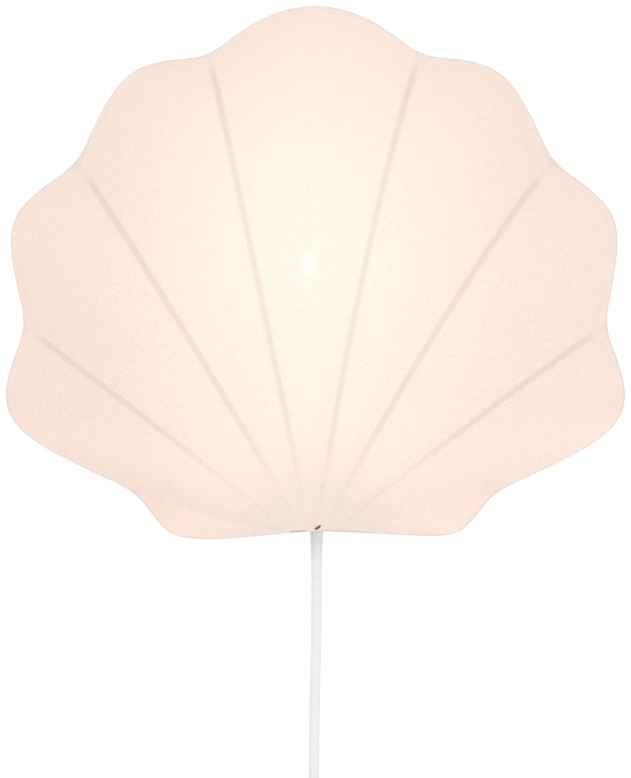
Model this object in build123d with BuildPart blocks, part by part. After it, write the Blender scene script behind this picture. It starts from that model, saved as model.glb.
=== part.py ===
from build123d import *
import os
from math import asin, atan2, cos, hypot, pi, sin, sqrt, tan

# Shell wall sconce: a stretch-fabric cover drawn over a scalloped steel wire frame, with an E14
# lampholder and bulb inside and a textile mains cord below.
# Millimetres. The wall is the plane Y = 0, the lamp stands out of it towards -Y, +X is the
# viewer's right and +Z is up. The origin is on the back of the wall bracket, at its middle.

# ---------------------------------------------------------------- driving sizes: cord and layers
CORD_D = 6.6            # two-core textile cord, over the braid
CORD_X = 1.2            # the cord leaves the shell a little right of its axis
WALL_GAP = 0.1          # back band of the cover to the wall
FABRIC_T = 0.9          # stretch jersey with its coating
CLEAR = 0.4             # between the cover and what it is drawn over
RUN_CLEAR = 0.3         # between other pieces that only lie beside each other
WELD_BITE = 0.4         # how far two welded wires sink into each other

# ---------------------------------------------------------------- driving sizes: wire frame
RIM_WIRE_D = 4.0        # scalloped rim
RIB_WIRE_D = 3.5        # arched ribs
SPINE_WIRE_D = 4.0      # two upright wires behind the rim
SPINE_X = 34.0          # each spine wire from the axis
SPINE_END = 0.0         # spine wires end this far past the rim's centreline
SHELL_CENTRE_Z = -60.0  # the scalloped outline is set out about this height

# Lobes of the right half: centre X, centre Z from the shell's centre, bend radius of the wire
BOTTOM_LOBE = (78.0, -121.0, 28.3)
LOWER_LOBE = (155.0, -57.5, 39.6)
SIDE_LOBE = (148.0, 34.0, 44.2)
UPPER_LOBE = (87.4, 100.2, 51.9)
TOP_LOBE = (0.0, 114.9, 71.9)
HUB_DROP = 146.0        # the bottom of the rim, at the axis, below the shell's centre
HUB_BEND = 20.0         # the rim's slight peak there
NOTCH_BEND = 4.0        # bend of the wire between two lobes
# Straight wire on each side of a notch: towards the lower lobe of the two, towards the upper one
NOTCH_RUNS = ((4.4, 31.9), (5.8, 15.5), (2.4, 7.7), (3.3, 2.9))
# How far out of each notch of the wire the cover bridges it
NOTCH_WEBS = (7.2, 6.5, 10.4, 5.9)
# Fullness of the cover over each lobe, the top one last: at its shoulders and at its outermost
LOBE_FULLNESS = ((0.0, 0.6), (2.5, 2.2), (1.0, 1.2), (1.0, 1.2), (2.5, 0.3))

# Ribs: name, notch that it ends in, foot from the axis, bow forward over its chord, bow aside
RIBS = (
    ("lower", 1, 16.0, 62.0, 4.4),
    ("middle", 2, 8.6, 80.0, 6.9),
    ("upper", 3, 3.4, 88.0, 4.5),
)
RIB_SEAT = 1.2          # a rib's ends lie this far in front of the rim's centreline
RIB_INSET = 0.5         # and this far inside it
SKIRT_FOOT = 22.0       # where the cover leaves the hub for the bottom lobe, from the axis
SKIRT_BOW = 16.0        # forward bow of the cover from there to the lowest notch
BOW_SPARE = 1.1         # extra room between the cover's arches and the ribs at mid-length
FOOT_FORWARD = 0.9      # feet of those arches on the hub, in parts of the cover's distance
FOOT_DROP = 0.75

HEM_HALF_WIDTH = 150.0  # open back of the cover, an ellipse
HEM_HALF_HEIGHT = 125.0
ELASTIC_W = 6.0         # flat elastic inside the hem
ELASTIC_T = 1.0

# ---------------------------------------------------------------- driving sizes: brackets
SHEET_T = 1.5           # pressed steel of both brackets
BRACKET_HALF = 26.0     # flat middle of the wall bracket, from the axis
BRACKET_JOGGLE = 3.0
BRACKET_H = 24.0
BRACKET_FLANGE = 5.0    # past each spine wire
KEYHOLE_X = 16.0        # each keyhole from the axis
KEYHOLE_ENTRY_R = 4.5
KEYHOLE_SLOT_R = 2.3
KEYHOLE_Z = -4.0
KEYHOLE_RISE = 9.0
SHELF_Z = -120.4        # top of the lampholder's shelf
SHELF_W = 26.0
SHELF_BAR_H = 14.0
SHELF_BAR_CORNER = 2.0
SHELF_BAR_OVER = 4.0    # bar past each spine wire
BULB_OUT = 40.0         # lampholder axis from the wall

# ---------------------------------------------------------------- driving sizes: lampholder, bulb
NIPPLE_R = 5.0          # M10 x 1 tube
NIPPLE_BORE_R = 3.85
THREAD_GAP = 0.1
NUT_ACROSS = 14.0
NUT_H = 3.0
NIPPLE_BELOW = 7.0      # into the cord grip, below the nut
NIPPLE_ABOVE = 8.0      # into the lampholder
GRIP_R = 8.0
GRIP_H = 17.0
GRIP_SCREW_R = 2.0
GRIP_SCREW_Z = 5.0      # above the grip's lower end
EDGE_ROUND = 1.5        # moulded edges of the grip and the lampholder
HOLDER_R = 14.0
HOLDER_WALL = 2.0
HOLDER_FLOOR = 3.0
HOLDER_CAP_H = 20.0
HOLDER_H = 56.0
BLOCK_Z = 14.0          # contact block from the shelf
BLOCK_H = 12.0
SCREW_SHELL_R = 7.6
SCREW_SHELL_T = 0.4
SCREW_SHELL_H = 21.0
BULB_SEAT = 33.0        # bulb's tip above the shelf; heights on the bulb are from this tip
BULB_LENGTH = 78.0
BULB_R = 22.5           # P45 golf-ball bulb
GLASS_T = 0.9
NECK_R = 8.0
NECK_Z = 23.0
NECK_L = 3.0
SHOULDER_TURN = 50.0    # the glass leaves the ball this many degrees below its middle
CAP_R = 6.9             # E14 screw cap
CAP_FLARE_R = 8.6
CAP_Z = 4.0
CAP_FLARE_Z = 20.0
CAP_TOP = 25.0
TIP_H = 1.5             # solder contact under the insulator
FILAMENT_R = 0.9
FILAMENT_RING = 5.4     # filaments round the stem
FILAMENT_LEAN = 1.2     # each closes in by this much at its upper end
FILAMENT_Z = 36.0
FILAMENT_L = 30.0
LEAD_WIRE_R = 0.3
LEAD_WIRE_REACH = 3.0   # past the filaments, to the stem
STEM_POST_R = 1.2
STEM_FLARE_H = 8.0

# ---------------------------------------------------------------- driving sizes: switch and plug
SWITCH_L = 62.0
SWITCH_W = 25.0
SWITCH_BACK = 8.0       # depth of the half towards the wall
SWITCH_FRONT = 8.0
SWITCH_WALL = 1.8
SWITCH_CORNER = 8.0
SWITCH_EDGE = 3.0
ROCKER_L = 19.4
ROCKER_W = 10.0
ROCKER_TILT = 8.0       # degrees either side of level
ROCKER_GAP = 0.4
ROCKER_AXIS = 3.5       # trunnions in front of the case's joint
ROCKER_DRUM_R = 10.0
ROCKER_TOP = 4.9        # ends of its face over the trunnions
ROCKER_DIP = 0.9
ROCKER_UNDER = 1.5
TRUNNION_R = 1.2
TRUNNION_L = 2.4
BEARING_T = 1.8
BEARING_H = 2.6         # web below the trunnions, and to each side of them
CASE_SCREW_R = 1.3
CASE_SCREW_HEAD_R = 2.3
CASE_SCREW_X = 6.5      # the two case screws sit at opposite corners
CASE_SCREW_Z = 24.0
CASE_POST_R = 3.2
SLOT_W = 0.7
SWITCH_BLOCK = (7.0, 5.4, 8.0)
SWITCH_BLOCK_Z = 17.5   # each terminal block from the switch's middle
PLUG_L = 36.0
PLUG_W = 35.0
PLUG_T = 13.7
PLUG_NECK_W = 13.0
PLUG_SHOULDER = 20.0
PIN_R = 2.0
PIN_L = 19.0
PIN_SPACING = 18.6

CORD_R = CORD_D / 2
CORD_OUT = WALL_GAP + FABRIC_T + CLEAR + CORD_R     # cord's axis from the wall, at the exit
RIM_R = RIM_WIRE_D / 2
RIM_OUT = CORD_OUT + CORD_R + CLEAR + RIM_R         # the cord passes behind the rim
SPINE_R = SPINE_WIRE_D / 2
SPINE_OUT = RIM_OUT - RIM_R - SPINE_R + WELD_BITE
HUB_Z = SHELL_CENTRE_Z - HUB_DROP
INNER_GROW = RIM_R + CLEAR                          # cover's inner face from the rim's centreline
OUTER_GROW = INNER_GROW + FABRIC_T

os.makedirs("parts", exist_ok=True)


def finish_piece(builder, name):
    """Label a finished piece and write its STEP file."""
    builder.part.label = name
    export_step(builder.part, f"parts/{name}.step")


def tube_volume_ratio(builder, path, radius):
    """Volume of a swept tube against its section times its length."""
    return builder.part.volume / (pi * radius**2 * path.length)


# ---------------------------------------------------------------- outline of the rim
# The wire runs like a belt round pulleys: a lobe turns it one way, a notch the other way, and a
# straight run joins two neighbours. A pulley is (x, z, radius), negative where the wire turns
# clockwise, as seen by the viewer.
def lobe_pulley(lobe):
    return lobe[0], SHELL_CENTRE_Z + lobe[1], lobe[2]


def notch_pulley(lower, upper, runs):
    """The notch bend that leaves the asked straight runs to its two lobes."""
    reach_low = lower[2] + NOTCH_BEND + runs[0]
    reach_up = upper[2] + NOTCH_BEND + runs[1]
    gap_x, gap_z = upper[0] - lower[0], upper[1] - lower[1]
    gap = hypot(gap_x, gap_z)
    along = (reach_low**2 - reach_up**2 + gap**2) / (2 * gap)
    out = sqrt(reach_low**2 - along**2)
    unit_x, unit_z = gap_x / gap, gap_z / gap
    notch_x = lower[0] + along * unit_x + out * unit_z
    notch_z = lower[1] + along * unit_z - out * unit_x
    return notch_x, notch_z, -NOTCH_BEND


def straight_run(first, second):
    """Start and end of the straight wire between two pulleys."""
    gap_x, gap_z = second[0] - first[0], second[1] - first[1]
    heading = atan2(gap_z, gap_x) - asin((second[2] - first[2]) / hypot(gap_x, gap_z))
    left_x, left_z = -sin(heading), cos(heading)
    start = (first[0] - first[2] * left_x, first[1] - first[2] * left_z)
    end = (second[0] - second[2] * left_x, second[1] - second[2] * left_z)
    return start, end


def middle_of_bend(pulley, start, end):
    """The point of a bend half-way between its two ends."""
    mean_x = (start[0] + end[0]) / 2 - pulley[0]
    mean_z = (start[1] + end[1]) / 2 - pulley[1]
    scale = abs(pulley[2]) / hypot(mean_x, mean_z)
    return pulley[0] + mean_x * scale, pulley[1] + mean_z * scale


lobes = [lobe_pulley(lobe) for lobe in (BOTTOM_LOBE, LOWER_LOBE, SIDE_LOBE, UPPER_LOBE, TOP_LOBE)]
notches = [notch_pulley(lobes[k], lobes[k + 1], NOTCH_RUNS[k]) for k in range(4)]
pulleys = [(0.0, HUB_Z - HUB_BEND, -HUB_BEND), lobes[0]]
for notch, lobe in zip(notches, lobes[1:]):
    pulleys += [notch, lobe]
runs = [straight_run(pulleys[k], pulleys[k + 1]) for k in range(len(pulleys) - 1)]
rim_top = (0.0, lobes[4][1] + lobes[4][2])
bend_starts = [(0.0, HUB_Z)] + [run[1] for run in runs]
bend_ends = [run[0] for run in runs] + [rim_top]
bend_middles = [middle_of_bend(*bend) for bend in zip(pulleys, bend_starts, bend_ends)]


def notch_point(index, out):
    """A point this far out of the wire in a notch, on the line that halves it."""
    centre = pulleys[2 * index + 2]
    apex = bend_middles[2 * index + 2]
    outward = ((centre[0] - apex[0]) / NOTCH_BEND, (centre[1] - apex[1]) / NOTCH_BEND)
    return apex[0] + out * outward[0], apex[1] + out * outward[1]


def rim_bottom(x):
    """Height of the rim's centreline on its bottom run."""
    (x0, z0), (x1, z1) = runs[0]
    return z0 + (x - x0) * (z1 - z0) / (x1 - x0)


# ---------------------------------------------------------------- wire frame
with BuildPart() as rim_wire:
    with BuildLine(Plane.XZ.offset(RIM_OUT)) as rim_path:
        for k, bend_start in enumerate(bend_starts):
            ThreePointArc(bend_start, bend_middles[k], bend_ends[k])
            if k < len(runs):
                Line(*runs[k])
    with BuildSketch(Plane((0, -RIM_OUT, HUB_Z), x_dir=(0, 1, 0), z_dir=(1, 0, 0))):
        Circle(RIM_R)
    sweep(path=rim_path.wires()[0])
    mirror(about=Plane.YZ)
finish_piece(rim_wire, "rim_wire")


def bow_over(chord, bow, aside):
    """Height of an arch over its chord: forward, and towards the shell's axis and top."""
    inward = Vector(-chord.Z, 0, chord.X) if chord.X > 0 else Vector(chord.Z, 0, -chord.X)
    return Vector(0, -bow, 0) + inward.normalized() * aside


for side, mirror_x in (("left", -1), ("right", 1)):
    for name, notch_index, foot_x, bow, aside in RIBS:
        head_x, head_z = notch_point(notch_index, -RIB_INSET)
        foot = Vector(mirror_x * foot_x, -RIM_OUT - RIB_SEAT, HUB_Z + RIB_INSET)
        head = Vector(mirror_x * head_x, -RIM_OUT - RIB_SEAT, head_z)
        crown = (foot + head) / 2 + bow_over(head - foot, bow, aside)
        with BuildPart() as rib_wire:
            with BuildLine():
                rib_arc = ThreePointArc(foot, crown, head)
            with BuildSketch(Plane(rib_arc @ 0, z_dir=rib_arc % 0)):
                Circle(RIB_WIRE_D / 2)
            sweep(path=rib_arc)
        finish_piece(rib_wire, f"rib_{name}_{side}")

spine_top = lobes[4][1] + sqrt(lobes[4][2] ** 2 - SPINE_X**2) + SPINE_END
spine_bottom = rim_bottom(SPINE_X) - SPINE_END
for side, mirror_x in (("left", -1), ("right", 1)):
    with BuildPart() as spine_wire:
        with BuildSketch(Plane.XY.offset(spine_bottom)):
            with Locations((mirror_x * SPINE_X, -SPINE_OUT)):
                Circle(SPINE_R)
        extrude(amount=spine_top - spine_bottom)
    finish_piece(spine_wire, f"spine_wire_{side}")

# ---------------------------------------------------------------- brackets
# Wall bracket: a pressed hat section. Its middle lies on the wall, its ends are joggled out to
# the spine wires and spot-welded there. Two keyholes hang it on screws.
spine_back = SPINE_OUT - SPINE_R
flange_out = spine_back + WELD_BITE / 4
joggle_end = BRACKET_HALF + BRACKET_JOGGLE
bracket_end = SPINE_X + BRACKET_FLANGE
with BuildPart() as wall_bracket:
    with BuildSketch(Plane.XY.offset(-BRACKET_H / 2)):
        with BuildLine() as bracket_edge:
            Polyline(
                (0, 0),
                (BRACKET_HALF, 0),
                (joggle_end, SHEET_T - flange_out),
                (bracket_end, SHEET_T - flange_out),
                (bracket_end, -flange_out),
                (joggle_end - SHEET_T / 2, -flange_out),
                (BRACKET_HALF - SHEET_T / 2, -SHEET_T),
                (0, -SHEET_T),
            )
            mirror(about=Plane.YZ)
        make_face()
    extrude(amount=BRACKET_H)
    with BuildSketch(Plane.XZ):
        for keyhole_x in (-KEYHOLE_X, KEYHOLE_X):
            with Locations((keyhole_x, KEYHOLE_Z)):
                Circle(KEYHOLE_ENTRY_R)
            with Locations((keyhole_x, KEYHOLE_Z + KEYHOLE_RISE / 2)):
                Rectangle(2 * KEYHOLE_SLOT_R, KEYHOLE_RISE)
            with Locations((keyhole_x, KEYHOLE_Z + KEYHOLE_RISE)):
                Circle(KEYHOLE_SLOT_R)
    extrude(amount=2 * SHEET_T, both=True, mode=Mode.SUBTRACT)
finish_piece(wall_bracket, "wall_bracket")

# Lampholder bracket: a bar across the fronts of the spine wires with a shelf folded forward.
bar_back = SPINE_OUT + SPINE_R - WELD_BITE / 4
bar_half = SPINE_X + SHELF_BAR_OVER
with BuildPart() as holder_bracket:
    with BuildSketch(Plane.XZ.offset(bar_back)):
        with Locations((0, SHELF_Z - SHELF_BAR_H / 2)):
            RectangleRounded(2 * bar_half, SHELF_BAR_H, SHELF_BAR_CORNER)
    extrude(amount=SHEET_T)
    with BuildSketch(Plane.XY.offset(SHELF_Z - SHEET_T)):
        with Locations((0, -(bar_back + BULB_OUT) / 2)):
            Rectangle(SHELF_W, BULB_OUT - bar_back)
        with Locations((0, -BULB_OUT)):
            Circle(SHELF_W / 2)
    extrude(amount=SHEET_T)
    with BuildSketch(Plane.XY.offset(SHELF_Z)):
        with Locations((0, -BULB_OUT)):
            Circle(NIPPLE_R + THREAD_GAP)
    extrude(amount=-SHEET_T, mode=Mode.SUBTRACT)
finish_piece(holder_bracket, "holder_bracket")

# ---------------------------------------------------------------- lampholder
shelf_under = SHELF_Z - SHEET_T
nut_under = shelf_under - NUT_H
grip_under = nut_under - GRIP_H


def lamp_plane(z):
    """A level plane on the lampholder's axis."""
    return Plane((0, -BULB_OUT, z))


with BuildPart() as threaded_nipple:
    with BuildSketch(lamp_plane(nut_under - NIPPLE_BELOW)):
        Circle(NIPPLE_R)
        Circle(NIPPLE_BORE_R, mode=Mode.SUBTRACT)
    extrude(amount=NIPPLE_BELOW + NUT_H + SHEET_T + NIPPLE_ABOVE)
finish_piece(threaded_nipple, "threaded_nipple")

with BuildPart() as nipple_nut:
    with BuildSketch(lamp_plane(nut_under)):
        RegularPolygon(NUT_ACROSS / 2, 6, major_radius=False)
        Circle(NIPPLE_R + THREAD_GAP, mode=Mode.SUBTRACT)
    extrude(amount=NUT_H)
    chamfer(nipple_nut.faces().sort_by(Axis.Z)[0].outer_wire().edges(), NUT_H / 5)
finish_piece(nipple_nut, "nipple_nut")

grip_screw_plane = Plane(
    (0, -BULB_OUT, grip_under + GRIP_SCREW_Z), x_dir=(0, 1, 0), z_dir=(1, 0, 0)
)
with BuildPart() as cord_grip:
    with BuildSketch(lamp_plane(grip_under)):
        Circle(GRIP_R)
        Circle(CORD_R + RUN_CLEAR, mode=Mode.SUBTRACT)
    extrude(amount=GRIP_H)
    with BuildSketch(lamp_plane(nut_under)):
        Circle(NIPPLE_R + THREAD_GAP)
    extrude(amount=-(NIPPLE_BELOW + RUN_CLEAR), mode=Mode.SUBTRACT)
    with BuildSketch(grip_screw_plane):
        Circle(GRIP_SCREW_R + THREAD_GAP)
    extrude(amount=GRIP_R, mode=Mode.SUBTRACT)
    fillet(cord_grip.faces().sort_by(Axis.Z)[0].outer_wire().edges(), EDGE_ROUND)
finish_piece(cord_grip, "cord_grip")

with BuildPart() as cord_grip_screw:
    with BuildSketch(grip_screw_plane.offset(CORD_R + THREAD_GAP)):
        Circle(GRIP_SCREW_R)
    extrude(amount=GRIP_R - CORD_R)
    with BuildSketch(cord_grip_screw.faces().sort_by(Axis.X)[-1]):
        Rectangle(2 * GRIP_SCREW_R, GRIP_SCREW_R / 3)
    extrude(amount=-GRIP_SCREW_R / 2, mode=Mode.SUBTRACT)
finish_piece(cord_grip_screw, "cord_grip_screw")

block_r = HOLDER_R - HOLDER_WALL - RUN_CLEAR
with BuildPart() as lampholder_cap:
    with BuildSketch(lamp_plane(SHELF_Z)):
        Circle(HOLDER_R)
        Circle(NIPPLE_R + THREAD_GAP, mode=Mode.SUBTRACT)
    extrude(amount=HOLDER_CAP_H)
    with BuildSketch(lamp_plane(SHELF_Z + HOLDER_FLOOR)):
        Circle(HOLDER_R - 2 * HOLDER_WALL)
    extrude(amount=HOLDER_CAP_H, mode=Mode.SUBTRACT)
    with BuildSketch(lamp_plane(SHELF_Z + BLOCK_Z)):
        Circle(HOLDER_R - HOLDER_WALL)
    extrude(amount=HOLDER_CAP_H, mode=Mode.SUBTRACT)
    chamfer(lampholder_cap.faces().sort_by(Axis.Z)[0].outer_wire().edges(), EDGE_ROUND)
finish_piece(lampholder_cap, "lampholder_cap")

with BuildPart() as lampholder_skirt:
    with BuildSketch(lamp_plane(SHELF_Z + HOLDER_CAP_H)):
        Circle(HOLDER_R)
        Circle(HOLDER_R - HOLDER_WALL, mode=Mode.SUBTRACT)
    extrude(amount=HOLDER_H - HOLDER_CAP_H)
    fillet(lampholder_skirt.faces().sort_by(Axis.Z)[-1].outer_wire().edges(), HOLDER_WALL / 2)
finish_piece(lampholder_skirt, "lampholder_skirt")

# Contact block: carries the screw shell, both contacts and the terminals, on the cap's ledge.
block_z = SHELF_Z + BLOCK_Z
block_top = block_z + BLOCK_H
TERMINAL_X = 9.6        # each terminal screw from the axis
TERMINAL_R = 1.5
CORE_HOLE_R = 1.5
with BuildPart() as contact_block:
    with BuildSketch(lamp_plane(block_z)):
        Circle(block_r)
        with Locations((-TERMINAL_X / 2, 0), (TERMINAL_X / 2, 0)):
            Circle(CORE_HOLE_R, mode=Mode.SUBTRACT)
    extrude(amount=BLOCK_H)
    with BuildSketch(lamp_plane(block_top)):
        with Locations((-TERMINAL_X, 0), (TERMINAL_X, 0)):
            Circle(TERMINAL_R + THREAD_GAP)
    extrude(amount=-BLOCK_H / 2, mode=Mode.SUBTRACT)
finish_piece(contact_block, "contact_block")

with BuildPart() as screw_shell:
    with BuildSketch(lamp_plane(block_top)):
        Circle(SCREW_SHELL_R)
        Circle(SCREW_SHELL_R - SCREW_SHELL_T, mode=Mode.SUBTRACT)
    extrude(amount=SCREW_SHELL_H)
finish_piece(screw_shell, "screw_shell")

CONTACT_W = 4.0
CONTACT_T = 0.5
bulb_tip = SHELF_Z + BULB_SEAT
contact_rise = bulb_tip - RUN_CLEAR / 3 - block_top
with BuildPart() as centre_contact:
    with BuildSketch(Plane.XZ.offset(BULB_OUT - CONTACT_W / 2)):
        with BuildLine():
            Polyline(
                (-CONTACT_W, block_top),
                (CONTACT_W / 2, block_top),
                (CONTACT_W / 2, block_top + CONTACT_T),
                (-CONTACT_W + CONTACT_T, block_top + CONTACT_T),
                (-CONTACT_W / 2, block_top + contact_rise - CONTACT_T),
                (CONTACT_W / 2, block_top + contact_rise - CONTACT_T),
                (CONTACT_W / 2, block_top + contact_rise),
                (-CONTACT_W / 2 - CONTACT_T, block_top + contact_rise),
                (-CONTACT_W, block_top + 2 * CONTACT_T),
                close=True,
            )
        make_face()
    extrude(amount=CONTACT_W)
finish_piece(centre_contact, "centre_contact")

with BuildPart() as terminal_screws:
    for screw_x in (-TERMINAL_X, TERMINAL_X):
        with BuildSketch(Plane((screw_x, -BULB_OUT, block_top - BLOCK_H / 2))):
            Circle(TERMINAL_R)
        extrude(amount=BLOCK_H / 2 + TERMINAL_R / 2)
finish_piece(terminal_screws, "terminal_screws")

# ---------------------------------------------------------------- bulb
def bulb_profile(wall):
    """Half section of the glass, a wall's thickness inside its outer face."""
    ball_z = bulb_tip + BULB_LENGTH - BULB_R
    ball_r = BULB_R - wall
    neck = (NECK_R - wall, bulb_tip + NECK_Z + NECK_L)
    shoulder_angle = -SHOULDER_TURN * pi / 180
    shoulder = (ball_r * cos(shoulder_angle), ball_z + ball_r * sin(shoulder_angle))
    top = (0, ball_z + ball_r)
    middle = (ball_r * cos(pi / 9), ball_z + ball_r * sin(pi / 9))
    rising = (-sin(shoulder_angle), cos(shoulder_angle))
    Line((0, bulb_tip + NECK_Z), (NECK_R - wall, bulb_tip + NECK_Z))
    Line((NECK_R - wall, bulb_tip + NECK_Z), neck)
    Spline(neck, shoulder, tangents=((0, 1), rising))
    ThreePointArc(shoulder, middle, top)
    Line(top, (0, bulb_tip + NECK_Z))


bulb_section = Plane((0, -BULB_OUT, 0), x_dir=(1, 0, 0), z_dir=(0, -1, 0))
bulb_axis = Axis((0, -BULB_OUT, 0), (0, 0, 1))
with BuildPart() as bulb_glass:
    for wall, way in ((0, Mode.ADD), (GLASS_T, Mode.SUBTRACT)):
        with BuildSketch(bulb_section):
            with BuildLine():
                bulb_profile(wall)
            make_face()
        revolve(axis=bulb_axis, mode=way)
finish_piece(bulb_glass, "bulb_glass")

with BuildPart() as bulb_cap:
    with BuildSketch(lamp_plane(bulb_tip + CAP_Z)):
        Circle(CAP_R)
    extrude(amount=CAP_FLARE_Z - CAP_Z)
    with BuildSketch(lamp_plane(bulb_tip + CAP_FLARE_Z)):
        Circle(CAP_FLARE_R)
    extrude(amount=CAP_TOP - CAP_FLARE_Z)
    with BuildSketch(lamp_plane(bulb_tip + CAP_Z)):
        Circle(CAP_R - SCREW_SHELL_T)
    extrude(amount=CAP_TOP, mode=Mode.SUBTRACT)
    with BuildSketch(lamp_plane(bulb_tip + CAP_FLARE_Z + SCREW_SHELL_T)):
        Circle(CAP_FLARE_R - SCREW_SHELL_T)
    extrude(amount=CAP_TOP, mode=Mode.SUBTRACT)
finish_piece(bulb_cap, "bulb_cap")

with BuildPart() as cap_insulator:
    with BuildSketch(lamp_plane(bulb_tip + TIP_H)):
        Circle(CAP_R / 2)
    with BuildSketch(lamp_plane(bulb_tip + CAP_Z)):
        Circle(CAP_R)
    loft()
finish_piece(cap_insulator, "cap_insulator")

with BuildPart() as cap_contact:
    with BuildSketch(lamp_plane(bulb_tip)):
        Circle(CAP_R / 3)
    extrude(amount=TIP_H)
    fillet(cap_contact.faces().sort_by(Axis.Z)[0].edges(), TIP_H / 3)
finish_piece(cap_contact, "cap_contact")

# Glass stem: a flare that closes the neck, and a thin post between the filaments.
stem_foot_z = bulb_tip + NECK_Z + GLASS_T + THREAD_GAP
stem_neck_z = stem_foot_z + STEM_FLARE_H
stem_top_z = bulb_tip + FILAMENT_Z + FILAMENT_L + LEAD_WIRE_REACH + STEM_POST_R
with BuildPart() as filament_stem:
    with BuildSketch(lamp_plane(stem_foot_z)):
        Circle(NECK_R - GLASS_T - RUN_CLEAR)
    with BuildSketch(lamp_plane(stem_neck_z)):
        Circle(2 * STEM_POST_R)
    loft()
    with BuildSketch(lamp_plane(stem_neck_z)):
        Circle(STEM_POST_R)
    extrude(amount=stem_top_z - stem_neck_z)
finish_piece(filament_stem, "filament_stem")


def rod_between(start, end, radius):
    """A round rod from one point to another."""
    with BuildSketch(Plane(start, z_dir=end - start)) as rod_end:
        Circle(radius)
    extrude(rod_end.sketch, amount=(end - start).length)


filament_low = []
filament_high = []
for quarter in range(4):
    turn = pi / 4 + quarter * pi / 2
    out = Vector(cos(turn), sin(turn), 0)
    foot_of_bulb = Vector(0, -BULB_OUT, bulb_tip)
    filament_low.append(foot_of_bulb + out * FILAMENT_RING + Vector(0, 0, FILAMENT_Z))
    filament_high.append(
        foot_of_bulb + out * (FILAMENT_RING - FILAMENT_LEAN) + Vector(0, 0, FILAMENT_Z + FILAMENT_L)
    )

with BuildPart() as led_filaments:
    for low, high in zip(filament_low, filament_high):
        rod_between(low, high, FILAMENT_R)
finish_piece(led_filaments, "led_filaments")

with BuildPart() as filament_wires:
    for low, high in zip(filament_low, filament_high):
        stem_side = Vector(0, -BULB_OUT, bulb_tip + FILAMENT_Z - LEAD_WIRE_REACH)
        stem_head = Vector(0, -BULB_OUT, bulb_tip + FILAMENT_Z + FILAMENT_L + LEAD_WIRE_REACH)
        reach_low = (low - stem_side).normalized()
        reach_high = (high - stem_head).normalized()
        rod_between(stem_side + reach_low * STEM_POST_R, low, LEAD_WIRE_R)
        rod_between(stem_head + reach_high * STEM_POST_R, high, LEAD_WIRE_R)
finish_piece(filament_wires, "filament_wires")


# ---------------------------------------------------------------- fabric cover
# The knitted cover: nine front panels between the ribs and a wrap round the rim, with a flat band
# sewn to it on the wall side, open in the middle. Both faces of the front are set out by the same
# function, each the given distance outside the rim's centreline. A panel is a cubic patch: its
# sides follow the ribs, its head follows a lobe and its foot lies along the hub.
def arch(foot, head, bow, aside=0):
    """Control points of a circular arch over a chord, bowed forward and aside."""
    chord = head - foot
    height = bow_over(chord, bow, aside)
    inset = (1 - (2 * height.length / chord.length) ** 2) / 3
    rise = height * 4 / 3
    return [foot, foot + chord * inset + rise, head - chord * inset + rise, head]


def lobe_edge(start, end, lobe, fullness, grow, depth):
    """Control points of a lobe's edge: both handles point at the lobe's circle from its ends."""
    shoulder_extra, crown_extra = fullness
    chord = (end[0] - start[0], end[1] - start[1])
    length = hypot(*chord)
    along = (chord[0] / length, chord[1] / length)
    outward = (along[1], -along[0])
    radius = lobe[2] + grow
    touch = radius + shoulder_extra
    centre = (lobe[0] - start[0], lobe[1] - start[1])
    rise = 4 / 3 * (centre[0] * outward[0] + centre[1] * outward[1] + radius + crown_extra)
    insets = []
    for from_x, from_z, way in ((start[0], start[1], 1), (end[0], end[1], -1)):
        to_x, to_z = lobe[0] - from_x, lobe[1] - from_z
        ahead = way * (to_x * along[0] + to_z * along[1])
        aside = to_x * outward[0] + to_z * outward[1]
        slope = atan2(aside, ahead) + asin(min(1.0, touch / hypot(to_x, to_z)))
        insets.append(rise / tan(slope))
    handle_a = (
        start[0] + insets[0] * along[0] + rise * outward[0],
        start[1] + insets[0] * along[1] + rise * outward[1],
    )
    handle_b = (
        end[0] - insets[1] * along[0] + rise * outward[0],
        end[1] - insets[1] * along[1] + rise * outward[1],
    )
    return [Vector(x, -depth, z) for x, z in (start, handle_a, handle_b, end)]


def straight(start, end):
    """Control points of a straight edge."""
    return [start + (end - start) * (k / 3) for k in range(4)]


def split_curve(points):
    """The two halves of a cubic curve, as control points."""
    a, b, c, d = points
    ab, bc, cd = (a + b) / 2, (b + c) / 2, (c + d) / 2
    abc, bcd = (ab + bc) / 2, (bc + cd) / 2
    middle = (abc + bcd) / 2
    return [a, ab, abc, middle], [middle, bcd, cd, d]


def panel(left, right, foot, head):
    """A cubic patch with these four edges; left and right run from foot to head."""
    net = []
    for i in range(4):
        t = i / 3
        row = []
        for j in range(4):
            s = j / 3
            sides = left[i] * (1 - s) + right[i] * s
            ends = foot[j] * (1 - t) + head[j] * t
            low = foot[0] * (1 - s) + foot[3] * s
            high = head[0] * (1 - s) + head[3] * s
            row.append(sides + ends - low * (1 - t) - high * t)
        net.append(row)
    return Face.make_bezier_surface(net)


def mirrored(points):
    """The same curve on the left half."""
    return [Vector(-p.X, p.Y, p.Z) for p in points]


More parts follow.
